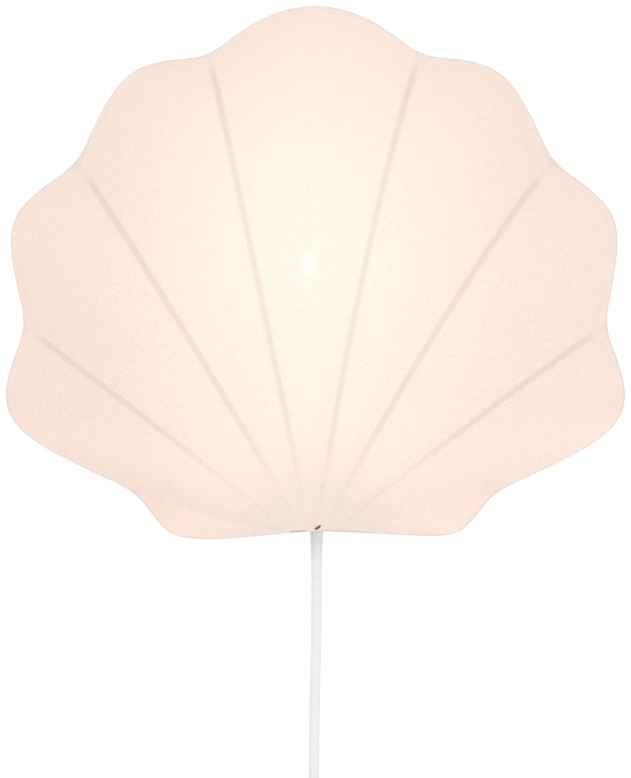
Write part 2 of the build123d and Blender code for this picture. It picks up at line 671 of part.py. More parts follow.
def cover_skin(grow):
    """One face of the cover's front and wrap, and the curves where it ends at the back band."""
    depth = RIM_OUT
    web_back = OUTER_GROW - grow
    tips = [notch_point(k, NOTCH_WEBS[k] - web_back) for k in range(4)]
    skirt = (SKIRT_FOOT, rim_bottom(SKIRT_FOOT) - grow)
    stations = [skirt] + tips
    edges = []
    for k in range(4):
        edges.append(
            lobe_edge(stations[k], stations[k + 1], lobes[k], LOBE_FULLNESS[k], grow, depth)
        )
    left_tip = (-tips[3][0], tips[3][1])
    top_edge = lobe_edge(tips[3], left_tip, lobes[4], LOBE_FULLNESS[4], grow, depth)

    # the hub: feet of the arches on the front of the rim, and the edge of the wrap below them
    front = Vector(0, -depth - FOOT_FORWARD * grow, 0)
    feet_x = [SKIRT_FOOT] + [rib[2] for rib in RIBS]
    feet = [front + Vector(x, 0, rim_bottom(x) - FOOT_DROP * grow) for x in feet_x]
    lips = [Vector(x, -depth, rim_bottom(x) - grow) for x in feet_x]
    heads = [edges[0][3], edges[1][3], edges[2][3], edges[3][3]]
    lift = grow - INNER_GROW + RIB_WIRE_D / 2 + CLEAR + BOW_SPARE
    arches = [arch(feet[0], heads[0], SKIRT_BOW)]
    for k, rib in enumerate(RIBS):
        arches.append(arch(feet[k + 1], heads[k + 1], rib[3] + lift, rib[4]))

    faces = []
    outline = []
    bottom_run, bottom_turn = split_curve(edges[0])
    for flip in (False, True):
        turned = mirrored if flip else list

        # bottom lobe: from the skirt's foot round to the lowest notch
        faces.append(
            panel(
                turned(arches[0]),
                turned(bottom_run),
                turned(straight(feet[0], lips[0])),
                turned(list(reversed(bottom_turn))),
            )
        )
        # the three panels between that edge and the uppermost rib
        for k in range(3):
            faces.append(
                panel(
                    turned(arches[k]),
                    turned(arches[k + 1]),
                    turned(straight(feet[k], feet[k + 1])),
                    turned(edges[k + 1]),
                )
            )
            faces.append(Face.make_bezier_surface(
                [turned(straight(feet[k], feet[k + 1])), turned(straight(lips[k], lips[k + 1]))]
            ))
            outline.append(turned(straight(lips[k], lips[k + 1])))
        outline.append(turned(bottom_run))
        outline.append(turned(bottom_turn))
        outline += [turned(edges[k]) for k in (1, 2, 3)]

    # top lobe, between the two uppermost ribs, and the middle of the hub
    hub_front = straight(feet[3], mirrored([feet[3]])[0])
    hub_lip = straight(lips[3], mirrored([lips[3]])[0])
    faces.append(panel(arches[3], mirrored(arches[3]), hub_front, top_edge))
    faces.append(Face.make_bezier_surface([hub_front, hub_lip]))
    outline += [hub_lip, top_edge]

    # the wrap, straight back from the outline to the back band
    back_curves = [[Vector(p.X, -WALL_GAP - FABRIC_T, p.Z) for p in curve] for curve in outline]
    for curve, at_back in zip(outline, back_curves):
        faces.append(Face.make_bezier_surface([curve, at_back]))
    return faces, back_curves


outer_faces, outer_back = cover_skin(OUTER_GROW)
inner_faces, inner_back = cover_skin(INNER_GROW)
seam_faces = [Face.make_bezier_surface(list(pair)) for pair in zip(outer_back, inner_back)]
cover_solid = Solid(Shell(outer_faces + inner_faces + seam_faces))
# The cord leaves through a round notch in the wrap's back edge
CORD_NOTCH_R = CORD_R + CLEAR + FABRIC_T / 2
with BuildPart() as shell_cover:
    add(cover_solid)
    with BuildSketch(Plane((CORD_X, -CORD_OUT, HUB_Z - OUTER_GROW - FABRIC_T))):
        Circle(CORD_NOTCH_R)
    extrude(amount=3 * FABRIC_T, mode=Mode.SUBTRACT)
finish_piece(shell_cover, "shell_cover")
print("cover volume", round(shell_cover.part.volume), "valid", shell_cover.part.is_valid)

# Back band: the flat part of the cover on the wall side, open in the middle along the hem
hem_plane = Plane((0, -WALL_GAP - FABRIC_T, SHELL_CENTRE_Z), x_dir=(1, 0, 0), z_dir=(0, -1, 0))
hem_edge = Wire([Edge.make_ellipse(HEM_HALF_WIDTH, HEM_HALF_HEIGHT, hem_plane)])
with BuildPart() as cover_back_band:
    band_edge = Wire([Edge.make_bezier(*curve) for curve in outer_back])
    extrude(Face(band_edge, [hem_edge]), amount=FABRIC_T, dir=(0, 1, 0))
finish_piece(cover_back_band, "cover_back_band")
print("back band volume", round(cover_back_band.part.volume), "valid", cover_back_band.part.is_valid)

with BuildPart() as hem_elastic:
    with BuildSketch(Plane.XZ.offset(WALL_GAP + FABRIC_T + RUN_CLEAR)):
        with Locations((0, SHELL_CENTRE_Z)):
            Ellipse(HEM_HALF_WIDTH + ELASTIC_W, HEM_HALF_HEIGHT + ELASTIC_W)
            Ellipse(HEM_HALF_WIDTH, HEM_HALF_HEIGHT, mode=Mode.SUBTRACT)
    extrude(amount=ELASTIC_T)
finish_piece(hem_elastic, "hem_elastic")


# ---------------------------------------------------------------- cord
def corner_radii(points):
    """Bend radii for a cord's route: 0.45 of the shorter run over tan of half the turn."""
    radii = []
    for before, corner, after in zip(points, points[1:], points[2:]):
        first, second = corner - before, after - corner
        half_turn = first.get_angle(second) * pi / 360
        radii.append(0.45 * min(first.length, second.length) / tan(half_turn))
    return radii


def cord_tube(name, points):
    """A stretch of cord along its route of straight runs and tangent arcs."""
    radii = corner_radii(points)
    print(name, "bend radii", [round(r, 1) for r in radii])
    with BuildPart() as tube:
        with BuildLine() as route:
            FilletPolyline(*points, radius=radii)
        with BuildSketch(Plane(points[0], z_dir=points[1] - points[0])):
            Circle(CORD_R)
        sweep(path=route.wires()[0])
    print(name, "length", round(route.wires()[0].length, 1), "volume ratio",
          round(tube_volume_ratio(tube, route.wires()[0], CORD_R), 4))
    finish_piece(tube, name)
    return route.wires()[0].length


cord_exit_z = HUB_Z - OUTER_GROW - RUN_CLEAR
lead_top = SHELF_Z + 6.0
# Inside the shell: from the notch in the wrap, behind the rim, forward and up into the holder
INNER_LEAD_ROUTE = [
    Vector(CORD_X, -CORD_OUT, cord_exit_z),
    Vector(CORD_X, -CORD_OUT, HUB_Z + 8.0),
    Vector(0.9, -11.5, HUB_Z + 21.0),
    Vector(0.3, -29.0, HUB_Z + 35.0),
    Vector(0, -BULB_OUT, HUB_Z + 52.0),
    Vector(0, -BULB_OUT, lead_top),
]
cord_lengths = [cord_tube("inner_lead", INNER_LEAD_ROUTE)]

# Below the shell: down the wall to the switch
UPPER_DROP_ROUTE = [
    Vector(CORD_X, -CORD_OUT, cord_exit_z),
    Vector(CORD_X, -CORD_OUT, cord_exit_z - 34.0),
    Vector(0.9, -5.6, cord_exit_z - 76.0),
    Vector(-0.1, -7.6, cord_exit_z - 118.0),
    Vector(-0.4, -9.6, cord_exit_z - 150.0),
    Vector(-0.4, -9.6, cord_exit_z - 174.0),
]
cord_lengths.append(cord_tube("cord_drop_upper", UPPER_DROP_ROUTE))

switch_top = UPPER_DROP_ROUTE[-1]
switch_bottom = switch_top - Vector(0, 0, SWITCH_L)
# From the switch, round into the top of the coil
LOWER_DROP_ROUTE = [
    switch_bottom,
    switch_bottom + Vector(0.0, 0.0, -12.0),
    switch_bottom + Vector(5.4, 1.4, -27.0),
    switch_bottom + Vector(13.4, 3.4, -40.0),
    switch_bottom + Vector(11.9, 4.4, -60.0),
    switch_bottom + Vector(-4.6, 4.6, -74.0),
    switch_bottom + Vector(-22.6, 4.6, -74.0),
]
cord_lengths.append(cord_tube("cord_drop_lower", LOWER_DROP_ROUTE))

# The coil hangs flat against the wall: it winds in on the wall side, climbs a layer over the
# innermost half turn and winds out in front.
COIL_R = 47.2           # outermost turn
COIL_PITCH = 7.2        # from turn to turn, and from layer to layer
HALF_TURNS_IN = 7
HALF_TURNS_OUT = 6
CLIMB_TUCK = 3.8        # the climbing half turn closes in by this much
CLIMB_OPEN = 4.0        # and the next one opens by this much past the last inner turn
COIL_TAIL = 28.0        # straight cord from the coil down to the plug
coil_start = LOWER_DROP_ROUTE[-1]
coil_centre = coil_start + Vector(-CORD_D, 0, -COIL_R)


def coil_radius(k):
    """Radius of the winding after k half turns."""
    innermost = COIL_R - HALF_TURNS_IN * COIL_PITCH / 2
    if k <= HALF_TURNS_IN:
        return COIL_R - k * COIL_PITCH / 2
    if k == HALF_TURNS_IN + 1:
        return innermost - CLIMB_TUCK
    return innermost + CLIMB_OPEN + (k - HALF_TURNS_IN - 2) * COIL_PITCH / 2


def coil_knot(k):
    """Point and heading of the winding after k half turns, from the coil's top, to the left."""
    turn = pi / 2 + k * pi
    out = Vector(cos(turn), 0, sin(turn))
    heading = Vector(-sin(turn), 0, cos(turn))
    layer = 0.0 if k <= HALF_TURNS_IN else -COIL_PITCH
    return coil_centre + out * coil_radius(k) + Vector(0, layer, 0), heading


def biarc(start, start_way, end, end_way):
    """The point where two tangent arcs between two headed points meet."""
    span = end - start
    ways = start_way + end_way
    a = ways.dot(ways) - 4
    b = -2 * span.dot(ways)
    c = span.dot(span)
    reach = -c / b if abs(a) < 1e-9 else (-b - sqrt(b * b - 4 * a * c)) / (2 * a)
    return (start + start_way * reach + end - end_way * reach) / 2


def arc_middle(start, way, end):
    """Middle of the arc that leaves start on a heading and reaches end."""
    chord = end - start
    half = way.get_angle(chord) * pi / 180
    side = (chord.normalized() * cos(half) - way).normalized()
    return (start + end) / 2 - side * (chord.length / 2 * tan(half / 2))


coil_knots = [coil_knot(k) for k in range(HALF_TURNS_IN + HALF_TURNS_OUT + 2)]
last_point, last_way = coil_knots[-1]
quarter_r = coil_radius(len(coil_knots) - 1) + COIL_PITCH / 4
coil_end = Vector(coil_centre.X - quarter_r, last_point.Y, coil_centre.Z)
coil_knots.append((coil_end, Vector(0, 0, -1)))
with BuildPart() as cord_coil:
    with BuildLine() as coil_path:
        Line(coil_start, coil_knots[0][0])
        for (start, way), (end, end_way) in zip(coil_knots, coil_knots[1:]):
            joint = biarc(start, way, end, end_way)
            middle = arc_middle(start, way, joint)
            ThreePointArc(start, middle, joint)
            ThreePointArc(joint, arc_middle(end, -end_way, joint), end)
        Line(coil_end, coil_end - Vector(0, 0, COIL_TAIL))
    with BuildSketch(Plane(coil_start, x_dir=(0, 1, 0), z_dir=(-1, 0, 0))):
        Circle(CORD_R)
    sweep(path=coil_path.wires()[0])
finish_piece(cord_coil, "cord_coil")
coil_wire = coil_path.wires()[0]
cord_lengths.append(coil_wire.length)
print("coil length", round(coil_wire.length, 1), "volume ratio",
      round(tube_volume_ratio(cord_coil, coil_wire, CORD_R), 4), "valid", cord_coil.part.is_valid)


def least_self_gap(wire, diameter):
    """Least gap between turns, on points a third of a diameter apart along the cord."""
    count = int(wire.length / (diameter / 3))
    points = [wire.position_at(k / count) for k in range(count + 1)]
    skip = 9
    least = wire.length**2
    for k, point in enumerate(points):
        for other in points[k + skip:]:
            apart = (other.X - point.X) ** 2 + (other.Y - point.Y) ** 2 + (other.Z - point.Z) ** 2
            least = min(least, apart)
    return sqrt(least) - diameter


print("coil least gap to itself", round(least_self_gap(coil_wire, CORD_D), 2))
print("cord from the shell to the plug", round(sum(cord_lengths[1:]) + SWITCH_L), "mm")

# Tie round the coil's turns, just left of their top
TIE_W = 10.0
TIE_T = 1.0
TIE_SLACK = 3.8         # below the innermost turn
TIE_CORNER = 3.0
tie_inner_top = coil_centre.Z + COIL_R + CORD_R + RUN_CLEAR
tie_inner_bottom = coil_centre.Z + coil_radius(HALF_TURNS_IN + 1) - CORD_R - TIE_SLACK
tie_inner_back = coil_centre.Y + CORD_R + RUN_CLEAR
tie_inner_front = coil_centre.Y - COIL_PITCH - CORD_R - RUN_CLEAR
tie_mid_y = (tie_inner_back + tie_inner_front) / 2
tie_mid_z = (tie_inner_top + tie_inner_bottom) / 2
tie_depth = tie_inner_back - tie_inner_front
tie_height = tie_inner_top - tie_inner_bottom
with BuildPart() as cord_tie:
    with BuildSketch(
        Plane((coil_centre.X - TIE_W, tie_mid_y, tie_mid_z), x_dir=(0, 1, 0), z_dir=(1, 0, 0))
    ):
        RectangleRounded(tie_depth + 2 * TIE_T, tie_height + 2 * TIE_T, TIE_CORNER)
        RectangleRounded(tie_depth, tie_height, TIE_CORNER - TIE_T, mode=Mode.SUBTRACT)
    extrude(amount=TIE_W)
finish_piece(cord_tie, "cord_tie")

# Strain relief: a soft tapered sleeve on the cord, just under the cover
RELIEF_TOP_R = 4.35
RELIEF_END_R = 3.6
RELIEF_L = 30.0
with BuildPart() as strain_relief:
    with BuildSketch(Plane((CORD_X, -CORD_OUT, cord_exit_z))):
        Circle(RELIEF_TOP_R)
    with BuildSketch(Plane((CORD_X, -CORD_OUT, cord_exit_z - RELIEF_L))):
        Circle(RELIEF_END_R)
    loft()
    with BuildSketch(Plane((CORD_X, -CORD_OUT, cord_exit_z))):
        Circle(CORD_R + THREAD_GAP)
    extrude(amount=-RELIEF_L, mode=Mode.SUBTRACT)
finish_piece(strain_relief, "strain_relief")

# Two cores from the end of the lead to the contact block
CORE_R = 1.2
core_gap = CORE_R + RUN_CLEAR
with BuildPart() as lead_cores:
    for way in (-1, 1):
        core_low = Vector(way * core_gap, -BULB_OUT, lead_top + CORE_R / 2 + THREAD_GAP)
        core_high = Vector(way * TERMINAL_X / 2, -BULB_OUT, block_z + BLOCK_H / 2)
        core_bend = Vector(way * TERMINAL_X / 2, -BULB_OUT, block_z - 2)
        rod_between(core_low, core_bend, CORE_R)
        rod_between(core_bend, core_high, CORE_R)
finish_piece(lead_cores, "lead_cores")

# ---------------------------------------------------------------- inline switch
switch_mid = (switch_top + switch_bottom) / 2
switch_plane = Plane(switch_mid, x_dir=(1, 0, 0), z_dir=(0, -1, 0))
rocker_well_w = ROCKER_W + 2 * ROCKER_GAP
rocker_well_l = ROCKER_L + 2 * ROCKER_GAP


def switch_half(depth, way):
    """One moulded half of the switch case, hollow, with a half-round mouth at each end."""
    with BuildSketch(switch_plane) as outside:
        RectangleRounded(SWITCH_W, SWITCH_L, SWITCH_CORNER)
    extrude(outside.sketch, amount=way * depth)
    outer_face = faces().sort_by(Axis.Y)[0 if way > 0 else -1]
    fillet(outer_face.outer_wire().edges(), SWITCH_EDGE)
    with BuildSketch(switch_plane) as inside:
        RectangleRounded(
            SWITCH_W - 2 * SWITCH_WALL, SWITCH_L - 2 * SWITCH_WALL, SWITCH_CORNER - SWITCH_WALL
        )
    extrude(inside.sketch, amount=way * (depth - SWITCH_WALL), mode=Mode.SUBTRACT)
    with BuildSketch(Plane(switch_mid - Vector(0, 0, SWITCH_L))) as mouths:
        Circle(CORD_R + THREAD_GAP)
    extrude(mouths.sketch, amount=2 * SWITCH_L, mode=Mode.SUBTRACT)


case_screw_places = ((CASE_SCREW_X, CASE_SCREW_Z), (-CASE_SCREW_X, -CASE_SCREW_Z))


def switch_posts(depth, way, bore_r):
    """Round posts for the case screws inside a half, bored for them."""
    for place in case_screw_places:
        with BuildSketch(switch_plane.offset(way * THREAD_GAP)) as post:
            with Locations(place):
                Circle(CASE_POST_R)
        extrude(post.sketch, amount=way * (depth - SWITCH_WALL))
        with BuildSketch(switch_plane.offset(way * THREAD_GAP)) as bore:
            with Locations(place):
                Circle(bore_r)
        extrude(bore.sketch, amount=way * (depth - SWITCH_WALL), mode=Mode.SUBTRACT)


with BuildPart() as switch_back_case:
    switch_half(SWITCH_BACK, -1)
    switch_posts(SWITCH_BACK, -1, CASE_SCREW_R + THREAD_GAP)
    with BuildSketch(switch_plane.offset(-SWITCH_BACK)):
        with Locations(*case_screw_places):
            Circle(CASE_SCREW_HEAD_R + THREAD_GAP)
    extrude(amount=2 * SWITCH_WALL, mode=Mode.SUBTRACT)
finish_piece(switch_back_case, "switch_back_case")

screw_seat = 2 * SWITCH_WALL - SWITCH_BACK - THREAD_GAP
with BuildPart() as switch_screws:
    with BuildSketch(switch_plane.offset(screw_seat)):
        with Locations(*case_screw_places):
            Circle(CASE_SCREW_HEAD_R)
    extrude(amount=-SWITCH_WALL)
    with BuildSketch(switch_plane.offset(screw_seat - SWITCH_WALL)):
        with Locations(*case_screw_places):
            Rectangle(2 * CASE_SCREW_HEAD_R, SLOT_W)
    extrude(amount=SLOT_W, mode=Mode.SUBTRACT)
    with BuildSketch(switch_plane.offset(screw_seat)):
        with Locations(*case_screw_places):
            Circle(CASE_SCREW_R)
    extrude(amount=SWITCH_BACK)
finish_piece(switch_screws, "switch_screws")

# Two brass terminal blocks on the floor of the back half, each with its clamp screw's hole
with BuildPart() as switch_terminals:
    with BuildSketch(switch_plane.offset(SWITCH_WALL + RUN_CLEAR - SWITCH_BACK)):
        with Locations((0, SWITCH_BLOCK_Z), (0, -SWITCH_BLOCK_Z)):
            Rectangle(SWITCH_BLOCK[0], SWITCH_BLOCK[2])
    extrude(amount=SWITCH_BLOCK[1])
    with BuildSketch(switch_plane.offset(SWITCH_WALL + RUN_CLEAR - SWITCH_BACK + SWITCH_BLOCK[1])):
        with Locations((0, SWITCH_BLOCK_Z), (0, -SWITCH_BLOCK_Z)):
            Circle(CASE_SCREW_R)
    extrude(amount=-SWITCH_BLOCK[1] / 2, mode=Mode.SUBTRACT)
finish_piece(switch_terminals, "switch_terminals")

bearing_x = rocker_well_w / 2 + RUN_CLEAR + BEARING_T / 2

with BuildPart() as switch_front_case:
    switch_half(SWITCH_FRONT, 1)
    with BuildSketch(switch_plane):
        Rectangle(rocker_well_w, rocker_well_l)
    extrude(amount=2 * SWITCH_FRONT, mode=Mode.SUBTRACT)
    # two webs under the front wall carry the rocker's trunnions
    for web_x in (-bearing_x, bearing_x):
        with BuildSketch(switch_plane.offset(ROCKER_AXIS - BEARING_H)):
            with Locations((web_x, 0)):
                Rectangle(BEARING_T, 2 * BEARING_H)
        extrude(amount=SWITCH_FRONT - SWITCH_WALL / 2 - ROCKER_AXIS + BEARING_H)
    with BuildSketch(Plane(switch_mid - Vector(SWITCH_W / 3, ROCKER_AXIS, 0), z_dir=(1, 0, 0))):
        Circle(TRUNNION_R + RUN_CLEAR)
    extrude(amount=2 * SWITCH_W / 3, mode=Mode.SUBTRACT)
    switch_posts(SWITCH_FRONT, 1, CASE_SCREW_R + THREAD_GAP)
finish_piece(switch_front_case, "switch_front_case")

# Rocker: a drum-ended key on two trunnions, tilted to its ON side at rest
rocker_plane = Plane(
    switch_mid - Vector(ROCKER_W / 2, ROCKER_AXIS, 0),
    x_dir=Vector(0, -sin(ROCKER_TILT * pi / 180), cos(ROCKER_TILT * pi / 180)),
    z_dir=(1, 0, 0),
)
drum_end = sqrt(ROCKER_DRUM_R**2 - ROCKER_TOP**2)
drum_low = sqrt(ROCKER_DRUM_R**2 - ROCKER_UNDER**2)
with BuildPart() as switch_rocker:
    with BuildSketch(rocker_plane):
        with BuildLine():
            Polyline((-drum_end, ROCKER_TOP), (0, ROCKER_TOP - ROCKER_DIP), (drum_end, ROCKER_TOP))
            ThreePointArc((drum_end, ROCKER_TOP), (ROCKER_DRUM_R, 0), (drum_low, -ROCKER_UNDER))
            Line((drum_low, -ROCKER_UNDER), (-drum_low, -ROCKER_UNDER))
            ThreePointArc((-drum_low, -ROCKER_UNDER), (-ROCKER_DRUM_R, 0), (-drum_end, ROCKER_TOP))
        make_face()
    extrude(amount=ROCKER_W)
    with BuildSketch(rocker_plane.offset(-TRUNNION_L)):
        Circle(TRUNNION_R)
    extrude(amount=ROCKER_W + 2 * TRUNNION_L)
finish_piece(switch_rocker, "switch_rocker")

# ---------------------------------------------------------------- plug
plug_top = coil_end - Vector(0, 0, COIL_TAIL)
plug_base_z = plug_top.Z - PLUG_L
PLUG_ROUND = 3.0
with BuildPart() as plug_body:
    with BuildSketch(
        Plane((plug_top.X, plug_top.Y - PLUG_T / 2, plug_top.Z), x_dir=(1, 0, 0), z_dir=(0, -1, 0))
    ):
        with BuildLine():
            Line((0, 0), (PLUG_NECK_W / 2, 0))
            Spline(
                (PLUG_NECK_W / 2, 0),
                (PLUG_W / 2, -PLUG_SHOULDER),
                tangents=((0, -1), (0, -1)),
            )
            Line((PLUG_W / 2, -PLUG_SHOULDER), (PLUG_W / 2, -PLUG_L))
            Line((PLUG_W / 2, -PLUG_L), (0, -PLUG_L))
            mirror(about=Plane.YZ)
        make_face()
    extrude(amount=-PLUG_T)
    fillet(plug_body.edges().filter_by(GeomType.LINE).filter_by(Axis.Z), PLUG_ROUND)
finish_piece(plug_body, "plug_body")

with BuildPart() as plug_pins:
    with BuildSketch(Plane((plug_top.X, plug_top.Y, plug_base_z))):
        with Locations((-PIN_SPACING / 2, 0), (PIN_SPACING / 2, 0)):
            Circle(PIN_R)
    extrude(amount=-PIN_L)
    fillet(plug_pins.faces().filter_by(Axis.Z).sort_by(Axis.Z)[0:2].edges(), PIN_R / 2)
finish_piece(plug_pins, "plug_pins")
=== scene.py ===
from math import asin, atan2, cos, hypot, pi, radians, sin, sqrt

import bmesh
import bpy
import numpy as np
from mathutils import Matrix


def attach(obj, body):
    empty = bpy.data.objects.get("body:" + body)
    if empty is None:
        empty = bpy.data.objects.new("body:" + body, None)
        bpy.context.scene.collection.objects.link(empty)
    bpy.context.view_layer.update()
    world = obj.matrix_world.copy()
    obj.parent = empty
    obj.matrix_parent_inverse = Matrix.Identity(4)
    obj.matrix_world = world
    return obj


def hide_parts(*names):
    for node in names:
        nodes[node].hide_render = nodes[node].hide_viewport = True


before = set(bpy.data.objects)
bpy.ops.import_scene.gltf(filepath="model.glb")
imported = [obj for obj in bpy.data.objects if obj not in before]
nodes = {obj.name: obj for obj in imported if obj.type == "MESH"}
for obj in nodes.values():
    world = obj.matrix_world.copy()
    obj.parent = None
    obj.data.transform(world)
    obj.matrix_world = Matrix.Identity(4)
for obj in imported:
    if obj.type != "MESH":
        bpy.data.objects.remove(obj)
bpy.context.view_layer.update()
MM = 0.001

# ---------------------------------------------------------------- camera
# It stands level with the middle of the shade and its drop of cord, a little to the right, and
# is aimed at the wire rim's plane, where the picture is half a metre high.
VIEW_X, VIEW_Z = 0.65, -117.6
VIEW_AWAY = 2200.0
VIEW_ASIDE = 67.8
PICTURE_HEIGHT = 503.5
SENSOR_HEIGHT = 36.0
RIM_OUT = 10.4          # rim's centreline from the wall, mm

lens = bpy.data.cameras.new("front_view")
lens.sensor_fit = "VERTICAL"
lens.sensor_height = SENSOR_HEIGHT
lens.lens = SENSOR_HEIGHT * (VIEW_AWAY - RIM_OUT) / PICTURE_HEIGHT
lens.clip_end = 50.0
camera = bpy.data.objects.new("front_view", lens)
camera.location = ((VIEW_X + VIEW_ASIDE) * MM, -VIEW_AWAY * MM, VIEW_Z * MM)
camera.rotation_euler = (pi / 2, 0, atan2(VIEW_ASIDE, VIEW_AWAY - RIM_OUT))
bpy.context.scene.collection.objects.link(camera)
bpy.context.scene.camera = camera

# ---------------------------------------------------------------- wire frame
# Scalloped rim, six arched ribs and two upright spine wires: drawn steel wire, butt-welded and
# spot-welded, then powder coated pale grey. A small flattened bead is left at each weld.
SPINE_X, SPINE_OUT = 34.0, 6.8
SHELL_CENTRE_Z = -60.0
HUB_Z = -206.0
HUB_BEND = 20.0
NOTCH_BEND = 4.0
# lobes of the right half from the bottom: centre X, centre Z, bend radius of the wire
LOBES = (
    (78.0, -181.0, 28.3), (155.0, -117.5, 39.6), (148.0, -26.0, 44.2), (87.4, 40.2, 51.9),
    (0.0, 54.9, 71.9),
)
NOTCH_RUNS = ((4.4, 31.9), (5.8, 15.5), (2.4, 7.7), (3.3, 2.9))
# ribs: notch that each ends in, foot from the axis, bow forward, bow aside to the axis and top
RIBS = ((1, 16.0, 62.0, 4.4), (2, 8.6, 80.0, 6.9), (3, 3.4, 88.0, 4.5))
BEND_POINTS = 40
WELD_WITHIN = 2e-7      # corners of patches this near are one, m
COAT_COLOUR = (0.72, 0.70, 0.68, 1.0)
COAT_SHADE = (0.60, 0.585, 0.57, 1.0)


def feed(tree, node, wires):
    """Sets a node's inputs to values, or links them to sockets."""
    for socket, source in wires.items():
        if isinstance(source, bpy.types.NodeSocket):
            tree.links.new(source, node.inputs[socket])
        else:
            node.inputs[socket].default_value = source


def put_node(tree, kind, wires=None, **settings):
    """A shader node with its settings and its inputs."""
    node = tree.nodes.new(kind)
    for key, value in settings.items():
        setattr(node, key, value)
    feed(tree, node, wires or {})
    return node


def work_out(tree, operation, *terms):
    """The value of a math operation on numbers or sockets."""
    wires = dict(enumerate(terms))
    return put_node(tree, "ShaderNodeMath", wires, operation=operation).outputs[0]


def add(tree, first, second):
    """The sum of two numbers or sockets."""
    return work_out(tree, "ADD", first, second)


def times(tree, first, second):
    """The product of two numbers or sockets."""
    return work_out(tree, "MULTIPLY", first, second)


def noise(tree, place, scale, detail, **more):
    """A cloudy value about a half; more holds other inputs of the node."""
    wires = {"Vector": place, "Scale": scale, "Detail": detail, **more}
    return put_node(tree, "ShaderNodeTexNoise", wires).outputs[0]


def blend_colours(tree, share, first, second, way="MIX"):
    """Two colours blended by a share."""
    wires = {0: share, 6: first, 7: second}
    return put_node(tree, "ShaderNodeMix", wires, data_type="RGBA", blend_type=way).outputs[2]


def spread(tree, value, low, high, to_low=0.0, to_high=1.0):
    """A value carried smoothly from one range to another and held at its ends."""
    wires = {0: value, 1: low, 2: high, 3: to_low, 4: to_high}
    return put_node(
        tree, "ShaderNodeMapRange", wires, interpolation_type="SMOOTHSTEP"
    ).outputs[0]


def effect_group(name, takes, gives):
    """An empty node group with named inputs (name, kind, value) and outputs (name, kind)."""
    group = bpy.data.node_groups.new(name, "ShaderNodeTree")
    for label, kind, value in takes:
        socket = group.interface.new_socket(label, in_out="INPUT", socket_type=kind)
        if value is not None:
            socket.default_value = value
    for label, kind in gives:
        group.interface.new_socket(label, in_out="OUTPUT", socket_type=kind)
    return group, group.nodes.new("NodeGroupInput"), group.nodes.new("NodeGroupOutput")


def place_effect(tree, group, wires):
    """A node group placed in a material with its own values."""
    return put_node(tree, "ShaderNodeGroup", wires, node_tree=group)


NUMBER, COLOUR, VECTOR = "NodeSocketFloat", "NodeSocketColor", "NodeSocketVector"

# Surface of a made thing: cloudy handling marks, a fine grain, and roughness that goes with them.
surface_marks, given, out = effect_group(
    "surface_marks",
    (("Vector", VECTOR, None), ("Colour", COLOUR, (0.8, 0.8, 0.8, 1)),
     ("Shade", COLOUR, (0.6, 0.6, 0.6, 1)), ("Cloud Scale", NUMBER, 60.0),
     ("Grain Scale", NUMBER, 900.0), ("Amount", NUMBER, 0.5), ("Roughness", NUMBER, 0.4),
     ("Roughness Spread", NUMBER, 0.15)),
    (("Colour", COLOUR), ("Roughness", NUMBER), ("Height", NUMBER)),
)
clouds = noise(
    surface_marks, given.outputs["Vector"], given.outputs["Cloud Scale"], 5.0, Roughness=0.6)
grain = noise(surface_marks, given.outputs["Vector"], given.outputs["Grain Scale"], 2.0)
mark_share = add(
    surface_marks, times(surface_marks, spread(surface_marks, clouds, 0.35, 0.75), 0.55),
    times(surface_marks, grain, 0.45),
)
mark_share = times(surface_marks, mark_share, given.outputs["Amount"])
rough_swing = times(
    surface_marks, work_out(surface_marks, "SUBTRACT", clouds, 0.5),
    given.outputs["Roughness Spread"],
)
feed(surface_marks, out, {
    "Colour": blend_colours(
        surface_marks, mark_share, given.outputs["Colour"], given.outputs["Shade"]),
    "Roughness": add(surface_marks, given.outputs["Roughness"], rough_swing),
    "Height": grain,
})


def new_material(name):
    """A material with its node tree, its Principled shader and the object's coordinates."""
    material = bpy.data.materials.new(name)
    material.use_nodes = True
    tree = material.node_tree
    shader = tree.nodes["Principled BSDF"]
    coordinates = put_node(tree, "ShaderNodeTexCoord").outputs["Object"]
    return material, tree, shader, coordinates


def add_bump(tree, shader, height, strength, distance):
    """Height carried to the shader's normal."""
    wires = {"Strength": strength, "Distance": distance, "Height": height}
    feed(tree, shader, {"Normal": put_node(tree, "ShaderNodeBump", wires).outputs[0]})


def solid_material(
    name, colour, shade, roughness, metallic=0.0, cloud=60.0, grain_scale=900.0, amount=0.5,
    rough_spread=0.15, bump=0.15, bump_distance=0.0001, coat=0.0,
):
    """Metal, paint or plastic: the surface marks on a plain Principled shader."""
    material, tree, shader, place = new_material(name)
    marks = place_effect(tree, surface_marks, {
        "Vector": place, "Colour": colour, "Shade": shade, "Cloud Scale": cloud,
        "Grain Scale": grain_scale, "Amount": amount, "Roughness": roughness,
        "Roughness Spread": rough_spread,
    })
    feed(tree, shader, {
        "Base Color": marks.outputs["Colour"], "Roughness": marks.outputs["Roughness"],
        "Metallic": metallic, "Coat Weight": coat,
    })
    add_bump(tree, shader, marks.outputs["Height"], bump, bump_distance)
    return material


def dress(material, *names):
    """Gives carried-over CAD pieces their finish."""
    for name in names:
        for held in nodes[name].material_slots:
            held.material = material


